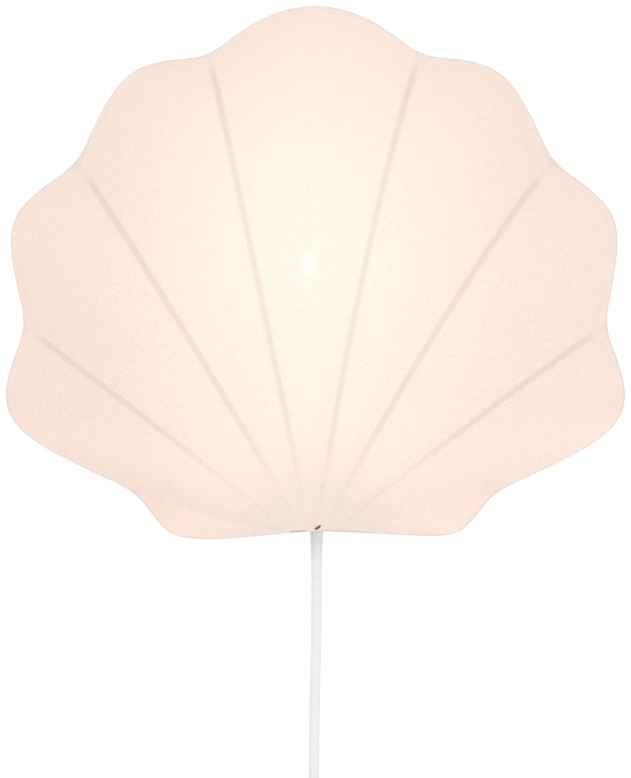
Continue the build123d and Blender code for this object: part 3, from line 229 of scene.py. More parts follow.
def make_piece(name, patches, material, body="lamp", attributes=None):
    """A mesh from grids of points in millimetres, welded where they meet.

    Each patch is an n x m x 3 array of points, or a pair of that and its n x m x 2 texture.
    attributes holds, by name, one array for each patch.
    """
    patches = [patch if isinstance(patch, tuple) else (patch, None) for patch in patches]
    corners, count = [], 0
    for points, _ in patches:
        rows, columns = points.shape[:2]
        index = count + np.arange(rows * columns).reshape(rows, columns)
        quads = (index[:-1, :-1], index[:-1, 1:], index[1:, 1:], index[1:, :-1])
        corners.append(np.stack(quads, axis=-1).reshape(-1, 4))
        count += rows * columns
    corners = np.concatenate(corners)
    vertices = np.concatenate([points.reshape(-1, 3) for points, _ in patches]) * MM
    mesh = bpy.data.meshes.new(name)
    mesh.from_pydata(vertices, [], corners)
    if patches[0][1] is not None:
        texture = np.concatenate([uv.reshape(-1, 2) for _, uv in patches]) * MM
        layer = mesh.uv_layers.new(name="along_and_around")
        layer.data.foreach_set("uv", texture[corners.ravel()].astype(np.float32).ravel())
    for label, arrays in (attributes or {}).items():
        held = mesh.attributes.new(label, "FLOAT", "POINT")
        held.data.foreach_set("value", np.concatenate([a.ravel() for a in arrays]))
    work = bmesh.new()
    work.from_mesh(mesh)
    bmesh.ops.remove_doubles(work, verts=work.verts, dist=WELD_WITHIN)
    bmesh.ops.recalc_face_normals(work, faces=work.faces)
    work.to_mesh(mesh)
    work.free()
    mesh.shade_smooth()
    mesh.materials.append(material)
    piece = bpy.data.objects.new(name, mesh)
    bpy.context.scene.collection.objects.link(piece)
    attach(piece, body)
    return piece


def lobe_line():
    """The rim's centreline over its right half, from the hub to the top, as a run of points.

    The wire runs like a belt round pulleys: a lobe turns it one way, a notch the other way, and
    straight wire joins two neighbours.
    """
    pulleys = [(0.0, HUB_Z - HUB_BEND, -HUB_BEND), LOBES[0]]
    for lower, upper, (run_low, run_up) in zip(LOBES, LOBES[1:], NOTCH_RUNS):
        reach_low, reach_up = lower[2] + NOTCH_BEND + run_low, upper[2] + NOTCH_BEND + run_up
        gap_x, gap_z = upper[0] - lower[0], upper[1] - lower[1]
        gap = hypot(gap_x, gap_z)
        along = (reach_low**2 - reach_up**2 + gap**2) / (2 * gap)
        away = sqrt(reach_low**2 - along**2)
        pulleys.append((
            lower[0] + (along * gap_x + away * gap_z) / gap,
            lower[1] + (along * gap_z - away * gap_x) / gap,
            -NOTCH_BEND,
        ))
        pulleys.append(upper)
    runs = []
    for first, second in zip(pulleys, pulleys[1:]):
        gap_x, gap_z = second[0] - first[0], second[1] - first[1]
        heading = atan2(gap_z, gap_x) - asin((second[2] - first[2]) / hypot(gap_x, gap_z))
        left = np.array((-sin(heading), cos(heading)))
        runs.append((
            np.array(first[:2]) - first[2] * left, np.array(second[:2]) - second[2] * left
        ))
    starts = [np.array((0.0, HUB_Z))] + [run[1] for run in runs]
    ends = [run[0] for run in runs] + [np.array((0.0, LOBES[4][1] + LOBES[4][2]))]
    bends, middles = [], []
    for (centre_x, centre_z, radius), start, end in zip(pulleys, starts, ends):
        from_turn = atan2(start[1] - centre_z, start[0] - centre_x)
        turn = atan2(end[1] - centre_z, end[0] - centre_x) - from_turn
        turn = (turn + pi) % (2 * pi) - pi
        angles = from_turn + turn * np.linspace(0, 1, BEND_POINTS)
        bend = np.stack((
            centre_x + abs(radius) * np.cos(angles), centre_z + abs(radius) * np.sin(angles)
        ), axis=1)
        bends.append(bend)
        middle_turn = from_turn + turn / 2
        middles.append((
            centre_x + abs(radius) * cos(middle_turn), centre_z + abs(radius) * sin(middle_turn)
        ))
    return pulleys, runs, middles, np.concatenate(bends)


pulleys, rim_runs, rim_middles, rim_half = lobe_line()


def notch_point(index, away):
    """A point this far out of the wire in a notch, on the line that halves it."""
    centre, apex = pulleys[2 * index + 2], rim_middles[2 * index + 2]
    return (
        apex[0] + away * (centre[0] - apex[0]) / NOTCH_BEND,
        apex[1] + away * (centre[1] - apex[1]) / NOTCH_BEND,
    )


def rim_bottom(x):
    """Height of the rim's centreline on its bottom run."""
    (x0, z0), (x1, z1) = rim_runs[0]
    return z0 + (x - x0) * (z1 - z0) / (x1 - x0)


coated_wire = solid_material(
    "powder_coated_wire", COAT_COLOUR, COAT_SHADE, 0.42, cloud=45.0, grain_scale=1400.0,
    amount=0.6, bump=0.35, bump_distance=0.00008,
)
dress(
    coated_wire, "rim_wire", "spine_wire_left", "spine_wire_right",
    *[f"rib_{name}_{side}" for name in ("lower", "middle", "upper") for side in ("left", "right")],
)

BEAD_RADII = (1.5, 0.8, 1.1)    # a weld bead is a flattened ball
RIB_FOOT_BEAD, RIB_HEAD_BEAD = (0.9, 1.2), (1.0, -1.6)
# beads on the spine wires: aside and out from a wire's centreline, and their heights
SPINE_BEADS = (
    (1.9, 1.6, (-206.6, 117.0)), (1.6, 1.3, (-131.0, -123.5)), (1.5, -1.7, (-8.0, 8.0)),
)
bead_places = []
for notch_index, foot_x, _, _ in RIBS:
    head_x, head_z = notch_point(notch_index, RIB_HEAD_BEAD[1])
    bead_places.append((foot_x, -RIM_OUT - RIB_FOOT_BEAD[0], HUB_Z + RIB_FOOT_BEAD[1]))
    bead_places.append((head_x, -RIM_OUT - RIB_HEAD_BEAD[0], head_z))
for aside, forward, heights in SPINE_BEADS:
    bead_places += [(SPINE_X + aside, -SPINE_OUT - forward, z) for z in heights]
bead_places = np.array(bead_places)
bead_places = np.concatenate((bead_places, bead_places * (-1, 1, 1)))


def ball_grids(centres, radii, rows=9, columns=13):
    """Balls squashed to three radii: unit sphere points times the radii, about each centre."""
    tilt = np.linspace(-pi / 2, pi / 2, rows)[:, None]
    turn = np.linspace(0, 2 * pi, columns)[None, :]
    unit = np.stack((
        np.cos(tilt) * np.cos(turn), np.cos(tilt) * np.sin(turn), np.sin(tilt) + 0 * turn
    ), axis=-1)
    return [centre + unit * radii for centre in centres]


make_piece("weld_beads", ball_grids(bead_places, BEAD_RADII), coated_wire)

# ---------------------------------------------------------------- brackets
# A pressed hat-section bracket with two keyholes, spot-welded behind the spine wires, and a bar
# across their fronts whose folded shelf carries the lampholder. Powder coated with the frame.
coated_sheet = solid_material(
    "powder_coated_sheet", (0.80, 0.79, 0.77, 1), (0.69, 0.68, 0.665, 1), 0.46, cloud=28.0,
    grain_scale=1100.0, amount=0.55, bump=0.35, bump_distance=0.0001,
)
dress(coated_sheet, "wall_bracket", "holder_bracket")

# ---------------------------------------------------------------- lampholder
# A thermoplastic E14 holder on an M10 nipple: flat cap, fluted skirt for the fingers, a steatite
# block with a brass screw shell, and a cord grip with its screw under the shelf.
HOLDER_AXIS_Y = -40.0
SKIRT_LOW_Z, SKIRT_TOP_Z = -100.4, -64.4
SKIRT_R, SKIRT_BORE_R = 14.0, 12.0
FLUTES, FLUTE_DEPTH = 30, 0.45
FLUTE_FOOT, FLUTE_TOP, FLUTE_FADE = 4.0, 5.0, 2.0   # from the skirt's ends, and how they fade

holder_plastic = solid_material(
    "holder_thermoplastic", (0.84, 0.83, 0.80, 1), (0.76, 0.745, 0.71, 1), 0.38, cloud=70.0,
    grain_scale=2200.0, amount=0.5, bump=0.2, bump_distance=0.00005,
)
zinc_plate = solid_material(
    "zinc_plate", (0.66, 0.67, 0.67, 1), (0.48, 0.49, 0.50, 1), 0.36, metallic=1.0, cloud=180.0,
    grain_scale=2600.0, amount=0.7, rough_spread=0.3, bump=0.2, bump_distance=0.00005,
)
brass = solid_material(
    "stamped_brass", (0.78, 0.60, 0.30, 1), (0.58, 0.42, 0.20, 1), 0.3, metallic=1.0, cloud=220.0,
    grain_scale=2400.0, amount=0.7, rough_spread=0.3, bump=0.15, bump_distance=0.00005,
)
steatite = solid_material(
    "steatite", (0.86, 0.84, 0.80, 1), (0.74, 0.72, 0.68, 1), 0.62, cloud=120.0,
    grain_scale=1800.0, amount=0.6, bump=0.5, bump_distance=0.0001,
)
insulation = solid_material(
    "core_insulation", (0.16, 0.30, 0.52, 1), (0.12, 0.23, 0.42, 1), 0.35, cloud=150.0,
    amount=0.5, bump=0.1,
)


def travelled(line):
    """How far along a run of points each of them lies."""
    return np.concatenate(([0], np.cumsum(np.linalg.norm(np.diff(line, axis=0), axis=1))))


def between(value, low, high, blend, far_blend=None):
    """One between two bounds, fading straight to nothing over a blend inside each."""
    rise = np.clip((value - low) / blend, 0, 1)
    return rise * np.clip((high - value) / (far_blend or blend), 0, 1)


def turned(profile, centre, columns, flute=None):
    """A profile of (radius, height) turned round an upright axis at centre (x, y).

    Each point is radius times (cosine, sine) of the turn; flute(turn, height) adds to the radius.
    """
    profile = np.array(profile)
    turn = np.linspace(0, 2 * pi, columns + 1)[None, :]
    radius = profile[:, :1] + 0 * turn
    height = profile[:, 1:] + 0 * turn
    if flute is not None:
        radius = radius + flute(turn, height)
    points = np.stack((
        centre[0] + radius * np.cos(turn), centre[1] + radius * np.sin(turn), height
    ), axis=-1)
    along = travelled(profile)[:, None]
    texture = np.stack((along + 0 * turn, radius.max() * turn + 0 * along), axis=-1)
    return points, texture


def turned_wall(outside, inside, centre, columns, flute=None):
    """A turned wall: its outside upwards, its inside downwards and the two lips between them."""
    plain = ([outside[-1], inside[0]], inside, [inside[-1], outside[0]])
    return [turned(outside, centre, columns, flute)] + [
        turned(profile, centre, columns) for profile in plain
    ]


def skirt_flutes(turn, height):
    """Shallow flutes on the outside, faded out near both ends of the skirt."""
    fade = between(height, SKIRT_LOW_Z + FLUTE_FOOT, SKIRT_TOP_Z - FLUTE_TOP, FLUTE_FADE)
    return -FLUTE_DEPTH * fade * (0.5 + 0.5 * np.cos(FLUTES * turn))


skirt_heights = np.linspace(SKIRT_LOW_Z + 1.0, SKIRT_TOP_Z - 1.6, 26)
skirt_outside = [(SKIRT_R - 0.5, SKIRT_LOW_Z), (SKIRT_R - 0.1, SKIRT_LOW_Z + 0.35)]
skirt_outside += [(SKIRT_R, height) for height in skirt_heights]
skirt_outside += [(SKIRT_R - 0.15, SKIRT_TOP_Z - 0.6), (SKIRT_R - 0.6, SKIRT_TOP_Z - 0.1)]
skirt_inside = [
    (SKIRT_BORE_R + 0.3, SKIRT_TOP_Z), (SKIRT_BORE_R, SKIRT_TOP_Z - 0.4),
    (SKIRT_BORE_R, SKIRT_LOW_Z),
]
holder_skirt = make_piece(
    "fluted_skirt",
    turned_wall(skirt_outside, skirt_inside, (0, HOLDER_AXIS_Y), 180, skirt_flutes),
    holder_plastic,
)
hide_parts("lampholder_skirt")
dress(holder_plastic, "lampholder_cap", "cord_grip")
dress(zinc_plate, "threaded_nipple", "nipple_nut", "cord_grip_screw", "terminal_screws")
dress(brass, "screw_shell", "centre_contact")
dress(steatite, "contact_block")
dress(insulation, "lead_cores")

# ---------------------------------------------------------------- bulb
# A clear golf-ball filament bulb with a rolled-thread nickel cap. Four phosphor-coated LED
# filaments stand round a glass stem; the lamp is on, so they glow.
BALL_R, BALL_Z = 22.5, -31.9
BALL_START = radians(-50)       # where the shoulder runs into the ball
SHOULDER_PULL = 9.0             # how firmly both ends steer the shoulder's curve
GLASS_T = 0.9
NECK_R, NECK_LOW_Z, NECK_TOP_Z = 8.0, -64.4, -61.4
CAP_R, CAP_FLARE_R = 6.75, 8.6
CAP_LOW_Z, CAP_FLARE_Z, CAP_TOP_Z = -83.4, -67.4, -62.4
THREAD_PITCH, THREAD_HEIGHT = 2.82, 0.42
THREAD_FOOT, THREAD_TOP, THREAD_FADE = 0.8, 1.2, 1.5
FILAMENT_GLOW = 9.0
BULB_AXIS = (0.0, HOLDER_AXIS_Y)

clear_glass, tree, shader, place = new_material("clear_bulb_glass")
marks = place_effect(tree, surface_marks, {
    "Vector": place, "Colour": (0.97, 0.98, 0.98, 1), "Shade": (0.93, 0.95, 0.95, 1),
    "Cloud Scale": 55.0, "Grain Scale": 300.0, "Amount": 0.4, "Roughness": 0.03,
    "Roughness Spread": 0.03,
})
feed(tree, shader, {
    "Base Color": marks.outputs["Colour"], "Roughness": marks.outputs["Roughness"],
    "Transmission Weight": 1.0, "IOR": 1.5,
})


def glass_outside():
    """The bulb's half section: foot of the neck, a cubic shoulder and most of a circle."""
    foot = ((0.0, NECK_LOW_Z), (NECK_R - 0.5, NECK_LOW_Z), (NECK_R, NECK_LOW_Z + 0.5))
    angles = np.linspace(BALL_START, pi / 2, 40)
    ball = np.stack((BALL_R * np.cos(angles), BALL_Z + BALL_R * np.sin(angles)), axis=1)
    ball[-1, 0] = 0.0
    start, end = np.array((NECK_R, NECK_TOP_Z)), ball[0]
    rise = SHOULDER_PULL * np.array((0.0, 1.0))
    swing = SHOULDER_PULL * np.array((-sin(BALL_START), cos(BALL_START)))
    t = np.linspace(0, 1, 14)[:-1, None]
    shoulder = (
        start * (1 + 2 * t) * (1 - t) ** 2 + rise * t * (1 - t) ** 2
        + end * t**2 * (3 - 2 * t) + swing * t**2 * (t - 1)
    )
    return np.concatenate((foot, shoulder, ball))


bulb_glass = make_piece(
    "bulb_glass_wall", [turned(glass_outside(), BULB_AXIS, 96)], clear_glass,
    body="bulb",
)
glass = bulb_glass.modifiers.new("glass_thickness", "SOLIDIFY")
glass.thickness = GLASS_T * MM
glass.offset = -1.0
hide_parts("bulb_glass")

nickel = solid_material(
    "nickel_plate", (0.74, 0.72, 0.69, 1), (0.56, 0.55, 0.53, 1), 0.22, metallic=1.0, cloud=260.0,
    grain_scale=3000.0, amount=0.6, rough_spread=0.25, bump=0.1, bump_distance=0.00004,
)


def rolled_thread(turn, height):
    """A round thread: a cosine that climbs one pitch each turn, faded out at both ends."""
    fade = between(height, CAP_LOW_Z + THREAD_FOOT, CAP_FLARE_Z - THREAD_TOP, THREAD_FADE)
    return THREAD_HEIGHT * fade * np.cos(2 * pi * height / THREAD_PITCH - turn)


thread_heights = np.linspace(CAP_LOW_Z, CAP_FLARE_Z - 0.6, 60)
cap_outside = [(CAP_R - 0.6, CAP_LOW_Z)] + [(CAP_R - 0.3, height) for height in thread_heights]
cap_outside += [
    (CAP_R + 0.5, CAP_FLARE_Z - 0.2), (CAP_FLARE_R - 0.3, CAP_FLARE_Z),
    (CAP_FLARE_R, CAP_FLARE_Z + 0.4), (CAP_FLARE_R, CAP_TOP_Z),
]
cap_inside = [
    (CAP_FLARE_R - 0.4, CAP_TOP_Z), (CAP_FLARE_R - 0.4, CAP_FLARE_Z + 0.5),
    (CAP_R - 1.0, CAP_FLARE_Z - 0.6), (CAP_R - 1.0, CAP_LOW_Z),
]
bulb_cap = make_piece(
    "threaded_cap", turned_wall(cap_outside, cap_inside, BULB_AXIS, 96, rolled_thread), nickel,
    body="bulb",
)
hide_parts("bulb_cap")

black_glass = solid_material(
    "vitrite", (0.018, 0.018, 0.02, 1), (0.05, 0.05, 0.055, 1), 0.12, cloud=300.0, amount=0.7,
    bump=0.1,
)
solder = solid_material(
    "solder_drop", (0.55, 0.55, 0.54, 1), (0.36, 0.36, 0.36, 1), 0.38, metallic=1.0, cloud=500.0,
    grain_scale=1500.0, amount=0.8, rough_spread=0.35, bump=0.6, bump_distance=0.0002,
)
dress(black_glass, "cap_insulator")
dress(solder, "cap_contact")
dress(clear_glass, "filament_stem")
dress(nickel, "filament_wires")


def fibrous_material(name, scale, detail, light, dark, roughness, bump):
    """Two shades by a fine noise, which also raises the surface."""
    material, tree, shader, place = new_material(name)
    fibres = noise(tree, place, scale, detail)
    shade = blend_colours(tree, fibres, light, dark)
    feed(tree, shader, {"Base Color": shade, "Roughness": roughness})
    add_bump(tree, shader, fibres, bump, 0.0001)
    return material, tree, shader, fibres


# the phosphor's grains glow, some paler than others
filament, tree, shader, grains = fibrous_material(
    "lit_filament", 1500.0, 3.0, (0.95, 0.72, 0.30, 1), (1.0, 0.86, 0.50, 1), 0.5, 0.4
)
feed(tree, shader, {
    "Emission Color": blend_colours(tree, grains, (1.0, 0.80, 0.50, 1), (1.0, 0.92, 0.72, 1)),
    "Emission Strength": FILAMENT_GLOW,
})
dress(filament, "led_filaments")

# ---------------------------------------------------------------- cord
# Two insulated cores in one white textile braid, made on sixteen carriers. It is clamped in the
# grip, leaves the cover at the hub through a soft tapered sleeve and hangs down the wall.
CORD_R = 3.3
BRAID_STRANDS = 8       # each way round
BRAID_STRAND = 2 * pi * CORD_R / BRAID_STRANDS  # one diamond round the cord
BRAID_PITCH = 2.15      # and along it
BRAID_HEIGHT = 0.16
LEAD_ROUTE = (
    (1.2, -4.7, -209.6), (1.2, -4.7, -198.0), (0.9, -11.5, -185.0), (0.3, -29.0, -171.0),
    (0.0, -40.0, -154.0), (0.0, -40.0, -114.4),
)
UPPER_ROUTE = (
    (1.2, -4.7, -209.6), (1.2, -4.7, -243.6), (0.9, -5.6, -285.6), (-0.1, -7.6, -327.6),
    (-0.4, -9.6, -359.6), (-0.4, -9.6, -383.6),
)
CORD_WHITE, CORD_FLECK_AND_SHADE = (0.945, 0.95, 0.945, 1), (0.50, 0.52, 0.52, 1)
CORD_SHADE = tuple(0.93 * c for c in CORD_WHITE[:3]) + (1,)

# Diamond braid on (distance along, distance around): how high each strand stands, and its shade.
braid, given, out = effect_group(
    "diamond_braid",
    (("UV", VECTOR, None), ("Pitch", NUMBER, BRAID_PITCH * MM),
     ("Strand", NUMBER, BRAID_STRAND * MM)),
    (("Height", NUMBER), ("Fibre", NUMBER)),
)
parts = put_node(braid, "ShaderNodeSeparateXYZ", {0: given.outputs["UV"]})
along = work_out(braid, "DIVIDE", parts.outputs[0], given.outputs["Pitch"])
around = work_out(braid, "DIVIDE", parts.outputs[1], given.outputs["Strand"])
waves = [
    work_out(braid, "ABSOLUTE", work_out(
        braid, "SINE", times(braid, work_out(braid, way, around, along), pi)))
    for way in ("ADD", "SUBTRACT")
]
stretched = put_node(braid, "ShaderNodeMapping", {
    "Vector": given.outputs["UV"], "Scale": (1.0, 0.35, 1.0),
})
feed(braid, out, {
    "Height": work_out(braid, "POWER", times(braid, *waves), 0.6),
    "Fibre": noise(braid, stretched.outputs[0], 5200.0, 3.0),
})


def braided_material(name, pitch, shadow_above=None):
    """White textile braid that follows a piece's own texture, with painted shadow above a given
    height.
    """
    material, tree, shader, place = new_material(name)
    texture = put_node(tree, "ShaderNodeUVMap", uv_map="along_and_around").outputs[0]
    weave = place_effect(tree, braid, {"UV": texture, "Pitch": pitch * MM}).outputs
    marks = place_effect(tree, surface_marks, {
        "Vector": place, "Colour": CORD_WHITE, "Shade": CORD_SHADE, "Cloud Scale": 35.0,
        "Grain Scale": 1800.0, "Amount": 0.8, "Roughness": 0.85, "Roughness Spread": 0.1,
    })
    # painted shade in the braid's grooves; the grey fibres below are at random
    groove_shade = spread(tree, weave["Height"], 0.0, 0.36, 0.80, 0.0)
    colour = blend_colours(tree, groove_shade, marks.outputs["Colour"], CORD_FLECK_AND_SHADE)
    fibre = spread(tree, weave["Fibre"], 0.3, 0.7, 0.0, 0.09)
    colour = blend_colours(tree, fibre, colour, CORD_FLECK_AND_SHADE)
    # painted shadow: greyer above the given height
    if shadow_above:
        height = put_node(tree, "ShaderNodeSeparateXYZ", {0: place}).outputs[2]
        grey = spread(tree, height, shadow_above - 0.022, shadow_above, 0.0, 0.32)
        colour = blend_colours(tree, grey, colour, CORD_FLECK_AND_SHADE)
    feed(tree, shader, {
        "Base Color": colour, "Roughness": marks.outputs["Roughness"], "Sheen Weight": 0.15,
    })
    raised = add(tree, weave["Height"], times(tree, weave["Fibre"], 0.35))
    add_bump(tree, shader, raised, 0.5, 0.0002)
    return material


cord_textile = braided_material("white_braid", BRAID_PITCH)


def smooth_line(name, route, step):
    """Evenly spaced points along a route's smooth line, and the line's length, in millimetres."""
    curve = bpy.data.curves.new(name, "CURVE")
    curve.dimensions = "3D"
    curve.resolution_u = 32
    spline = curve.splines.new("NURBS")
    spline.points.add(len(route) - 1)
    route = np.array(route) * MM
    spline.points.foreach_set("co", np.column_stack((route, np.ones(len(route)))).ravel())
    spline.order_u = 3
    spline.use_endpoint_u = True
    holder = bpy.data.objects.new(name, curve)
    line = bpy.data.meshes.new_from_object(holder)
    points = np.empty(3 * len(line.vertices))
    line.vertices.foreach_get("co", points)
    bpy.data.objects.remove(holder)
    bpy.data.curves.remove(curve)
    bpy.data.meshes.remove(line)
    points = points.reshape(-1, 3) / MM
    along = travelled(points)
    even = np.linspace(0, along[-1], int(along[-1] / step) + 1)
    places = [np.interp(even, along, points[:, axis]) for axis in range(3)]
    return np.stack(places, axis=1), along[-1]


def round_tube(line, radius, columns, upright, relief=None):
    """A circle carried along a line, closed at both ends.

    Each ring lies across the line's heading: its first axis is upright turned square to it. The
    radius may change along the line, and relief(along, around) adds to it.
    """
    heading = np.gradient(line, axis=0)
    heading /= np.linalg.norm(heading, axis=1)[:, None]
    aside = np.cross(upright, heading)
    aside /= np.linalg.norm(aside, axis=1)[:, None]
    above = np.cross(heading, aside)
    along = travelled(line)[:, None]
    turn = np.linspace(0, 2 * pi, columns + 1)[None, :]
    spoke = np.asarray(radius, dtype=float).reshape(-1, 1) + 0 * (along + turn)
    if relief is not None:
        spoke = spoke + relief(along, turn)
    points = (
        line[:, None, :] + (spoke * np.cos(turn))[..., None] * aside[:, None, :]
        + (spoke * np.sin(turn))[..., None] * above[:, None, :]
    )
    points = np.concatenate((
        np.repeat(line[:1, None, :], columns + 1, axis=1), points,
        np.repeat(line[-1:, None, :], columns + 1, axis=1),
    ))
    texture = np.stack((along + 0 * turn, CORD_R * turn + 0 * along), axis=-1)
    texture = np.concatenate((texture[:1], texture, texture[-1:]))
    return points, texture


def braid_relief(along, turn):
    """Diamonds of a braid: two sets of strands that wind opposite ways, each a sine wave high."""
    first = BRAID_STRANDS * turn / (2 * pi) + along / BRAID_PITCH
    second = BRAID_STRANDS * turn / (2 * pi) - along / BRAID_PITCH
    lift = np.abs(np.sin(pi * first) * np.sin(pi * second)) ** 0.6
    return BRAID_HEIGHT * (lift - 0.55)


def cord_piece(name, line, columns, upright):
    """A length of the braided cord along a line."""
    tube = round_tube(line, CORD_R, columns, upright, braid_relief)
    return make_piece(name, [tube], cord_textile)


lead_line, _ = smooth_line("lead_line", LEAD_ROUTE, 0.6)
inner_cord = cord_piece("cord_inside_shade", lead_line, 40, (1, 0, 0))
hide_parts("inner_lead")

upper_line, _ = smooth_line("upper_line", UPPER_ROUTE, 0.35)
upper_cord = cord_piece("cord_to_switch", upper_line, 48, (1, 0, 0))
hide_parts("cord_drop_upper")

# the sleeve is covered by the same braid, spread wider at its upper end
SLEEVE_TOP_R, SLEEVE_END_R, SLEEVE_LENGTH = 4.3, 3.42, 30.0
SLEEVE_TAPER = 2.2      # the sleeve narrows by this power of what is left of it
SLEEVE_PITCH = 2.3
SLEEVE_SHADOW_Z = -211.5  # grey above this, in the shadow of the cloth
sleeve_textile = braided_material("braided_sleeve", SLEEVE_PITCH, SLEEVE_SHADOW_Z * MM)
sleeve_line = upper_line[upper_line[:, 2] > upper_line[0, 2] - SLEEVE_LENGTH]
left_over = np.linspace(1, 0, len(sleeve_line))
sleeve_radius = SLEEVE_END_R + (SLEEVE_TOP_R - SLEEVE_END_R) * left_over**SLEEVE_TAPER


def sleeve_relief(along, turn):
    """The braid's diamonds, a little longer than on the bare cord."""
    return braid_relief(along * BRAID_PITCH / SLEEVE_PITCH, turn)


strain_sleeve = make_piece(
    "strain_sleeve", [round_tube(sleeve_line, sleeve_radius, 56, (1, 0, 0), sleeve_relief)],
    sleeve_textile,
)
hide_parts("strain_relief")

# ---------------------------------------------------------------- cover
# One piece of fine pale-pink stretch jersey, drawn over the frame like a cap and held behind it by
# its gathered hem. It bridges the notches in single webs, and the wires' shadows are painted on it
# as soft grey lines. Its glow from the bulb inside is painted light, palest in front of the bulb.
COVER_GROW = 3.3        # cover's outer face from the rim's centreline
RIB_LIFT = 4.15         # and from the ribs' arches
FABRIC_T = 0.9
FOOT_FORWARD, FOOT_DROP = 0.9, 0.75         # of the ribs' feet, as shares of COVER_GROW
SKIRT_FOOT, SKIRT_BOW = 22.0, 16.0          # the flat skirt beside the hub
NOTCH_WEBS = (7.2, 6.5, 10.4, 5.9)          # the web's edge in each notch, out from the wire
# how much further out each lobe stands at its shoulders and at its crown
LOBE_FULLNESS = ((0.0, 0.6), (2.5, 2.2), (1.0, 1.2), (1.0, 1.2), (2.5, 0.3))
HEM_HALF_WIDTH, HEM_HALF_HEIGHT = 150.0, 125.0
HEM_REACH = 4.0         # the band runs this far into the hem
PANEL_ROWS, PANEL_COLUMNS, BAND_ROWS = 72, 40, 9
ROW_PULL = 0.75
GATHERS, GATHER_DEPTH = 84, 0.22
# section of the wrap: distance from the wall, and how far in from the outline
WRAP_SECTION = (
    (10.4, 0.0), (8.4, -0.12), (6.4, -0.15), (4.4, -0.12), (2.6, 0.0), (1.7, 0.15),
    (1.0, 0.5), (0.5, 1.0), (0.25, 1.7),
)
BAND_GAP = 0.16         # the band behind the wire, from the wall
WALE, COURSE = 0.85, 0.72
LIT_CENTRE = (-0.9, -62.0, -40.7)           # the place that the bulb lights most

# rows and columns of a panel lie closer together towards its edges
share_up = np.linspace(0, 1, PANEL_ROWS)
share_up = share_up - ROW_PULL * np.sin(2 * pi * share_up) / (2 * pi)
share_across = 0.5 - 0.5 * np.cos(pi * np.linspace(0, 1, PANEL_COLUMNS))


def cubic(controls, share):
    """Points of a cubic curve: its four controls weighed by the Bernstein polynomials."""
    t = np.asarray(share)[:, None]
    weights = np.concatenate(
        ((1 - t) ** 3, 3 * t * (1 - t) ** 2, 3 * t**2 * (1 - t), t**3), axis=1
    )
    return weights @ np.asarray(controls)


def arch(foot, head, bow, aside=0.0):
    """Controls of a cubic that follows an arc from foot to head, bowed forward and aside."""
    foot, head = np.array(foot), np.array(head)
    chord = head - foot
    inward = np.array((-chord[2], 0, chord[0])) / hypot(chord[0], chord[2])
    height = np.array((0, -bow, 0)) + inward * aside
    inset = (1 - 4 * (height @ height) / (chord @ chord)) / 3
    rise = height * 4 / 3
    return np.array((foot, foot + chord * inset + rise, head - chord * inset + rise, head))


def lobe_edge(start, end, lobe, fullness):
    """Controls of a lobe's edge: both handles point at the lobe's circle from its ends."""
    shoulder_extra, crown_extra = fullness
    start, end, middle = np.array(start), np.array(end), np.array(lobe[:2])
    chord = end - start
    along = chord / np.linalg.norm(chord)
    outward = np.array((along[1], -along[0]))
    radius = lobe[2] + COVER_GROW
    rise = 4 / 3 * ((middle - start) @ outward + radius + crown_extra)
    insets = []
    for corner, way in ((start, 1), (end, -1)):
        reach = middle - corner
        slope = atan2(reach @ outward, way * (reach @ along))
        slope += asin(min(1.0, (radius + shoulder_extra) / hypot(*reach)))
        insets.append(rise / np.tan(slope))
    flat = (
        start, start + insets[0] * along + rise * outward,
        end - insets[1] * along + rise * outward, end,
    )
    return np.array([(x, -RIM_OUT, z) for x, z in flat])


def straight(start, end):
    """Controls of a straight edge."""
    return np.linspace(start, end, 4)


def halves(controls):
    """The two halves of a cubic curve."""
    a, b, c, d = controls
    ab, bc, cd = (a + b) / 2, (b + c) / 2, (c + d) / 2
    abc, bcd = (ab + bc) / 2, (bc + cd) / 2
    middle = (abc + bcd) / 2
    return np.array((a, ab, abc, middle)), np.array((middle, bcd, cd, d))


def panel(left, right, foot, head):
    """Points of a cubic patch: sides plus ends less the flat patch between the four corners."""
    t = (np.arange(4) / 3)[:, None, None]
    s = (np.arange(4) / 3)[None, :, None]
    net = left[:, None] * (1 - s) + right[:, None] * s + foot[None] * (1 - t) + head[None] * t
    net = net - (foot[0] * (1 - s) + foot[3] * s) * (1 - t) - (head[0] * (1 - s) + head[3] * s) * t
    up = cubic(np.eye(4), share_up)
    across = cubic(np.eye(4), share_across)
    return np.einsum("ti,sj,ijk->tsk", up, across, net)


def hem_below(points):
    """For points of the outline, the point of the hem's ellipse in the same direction."""
    away = np.arctan2(points[..., 2] - SHELL_CENTRE_Z, points[..., 0])
    wide = HEM_HALF_WIDTH + HEM_REACH
    high = HEM_HALF_HEIGHT + HEM_REACH
    reach = wide * high / np.sqrt((high * np.cos(away)) ** 2 + (wide * np.sin(away)) ** 2)
    return reach * np.cos(away), SHELL_CENTRE_Z + reach * np.sin(away), away


def gathers(turn):
    """Small folds all round: a cosine whose pace varies with the turn."""
    return np.cos(GATHERS * turn + 1.7 * np.sin(5 * turn))


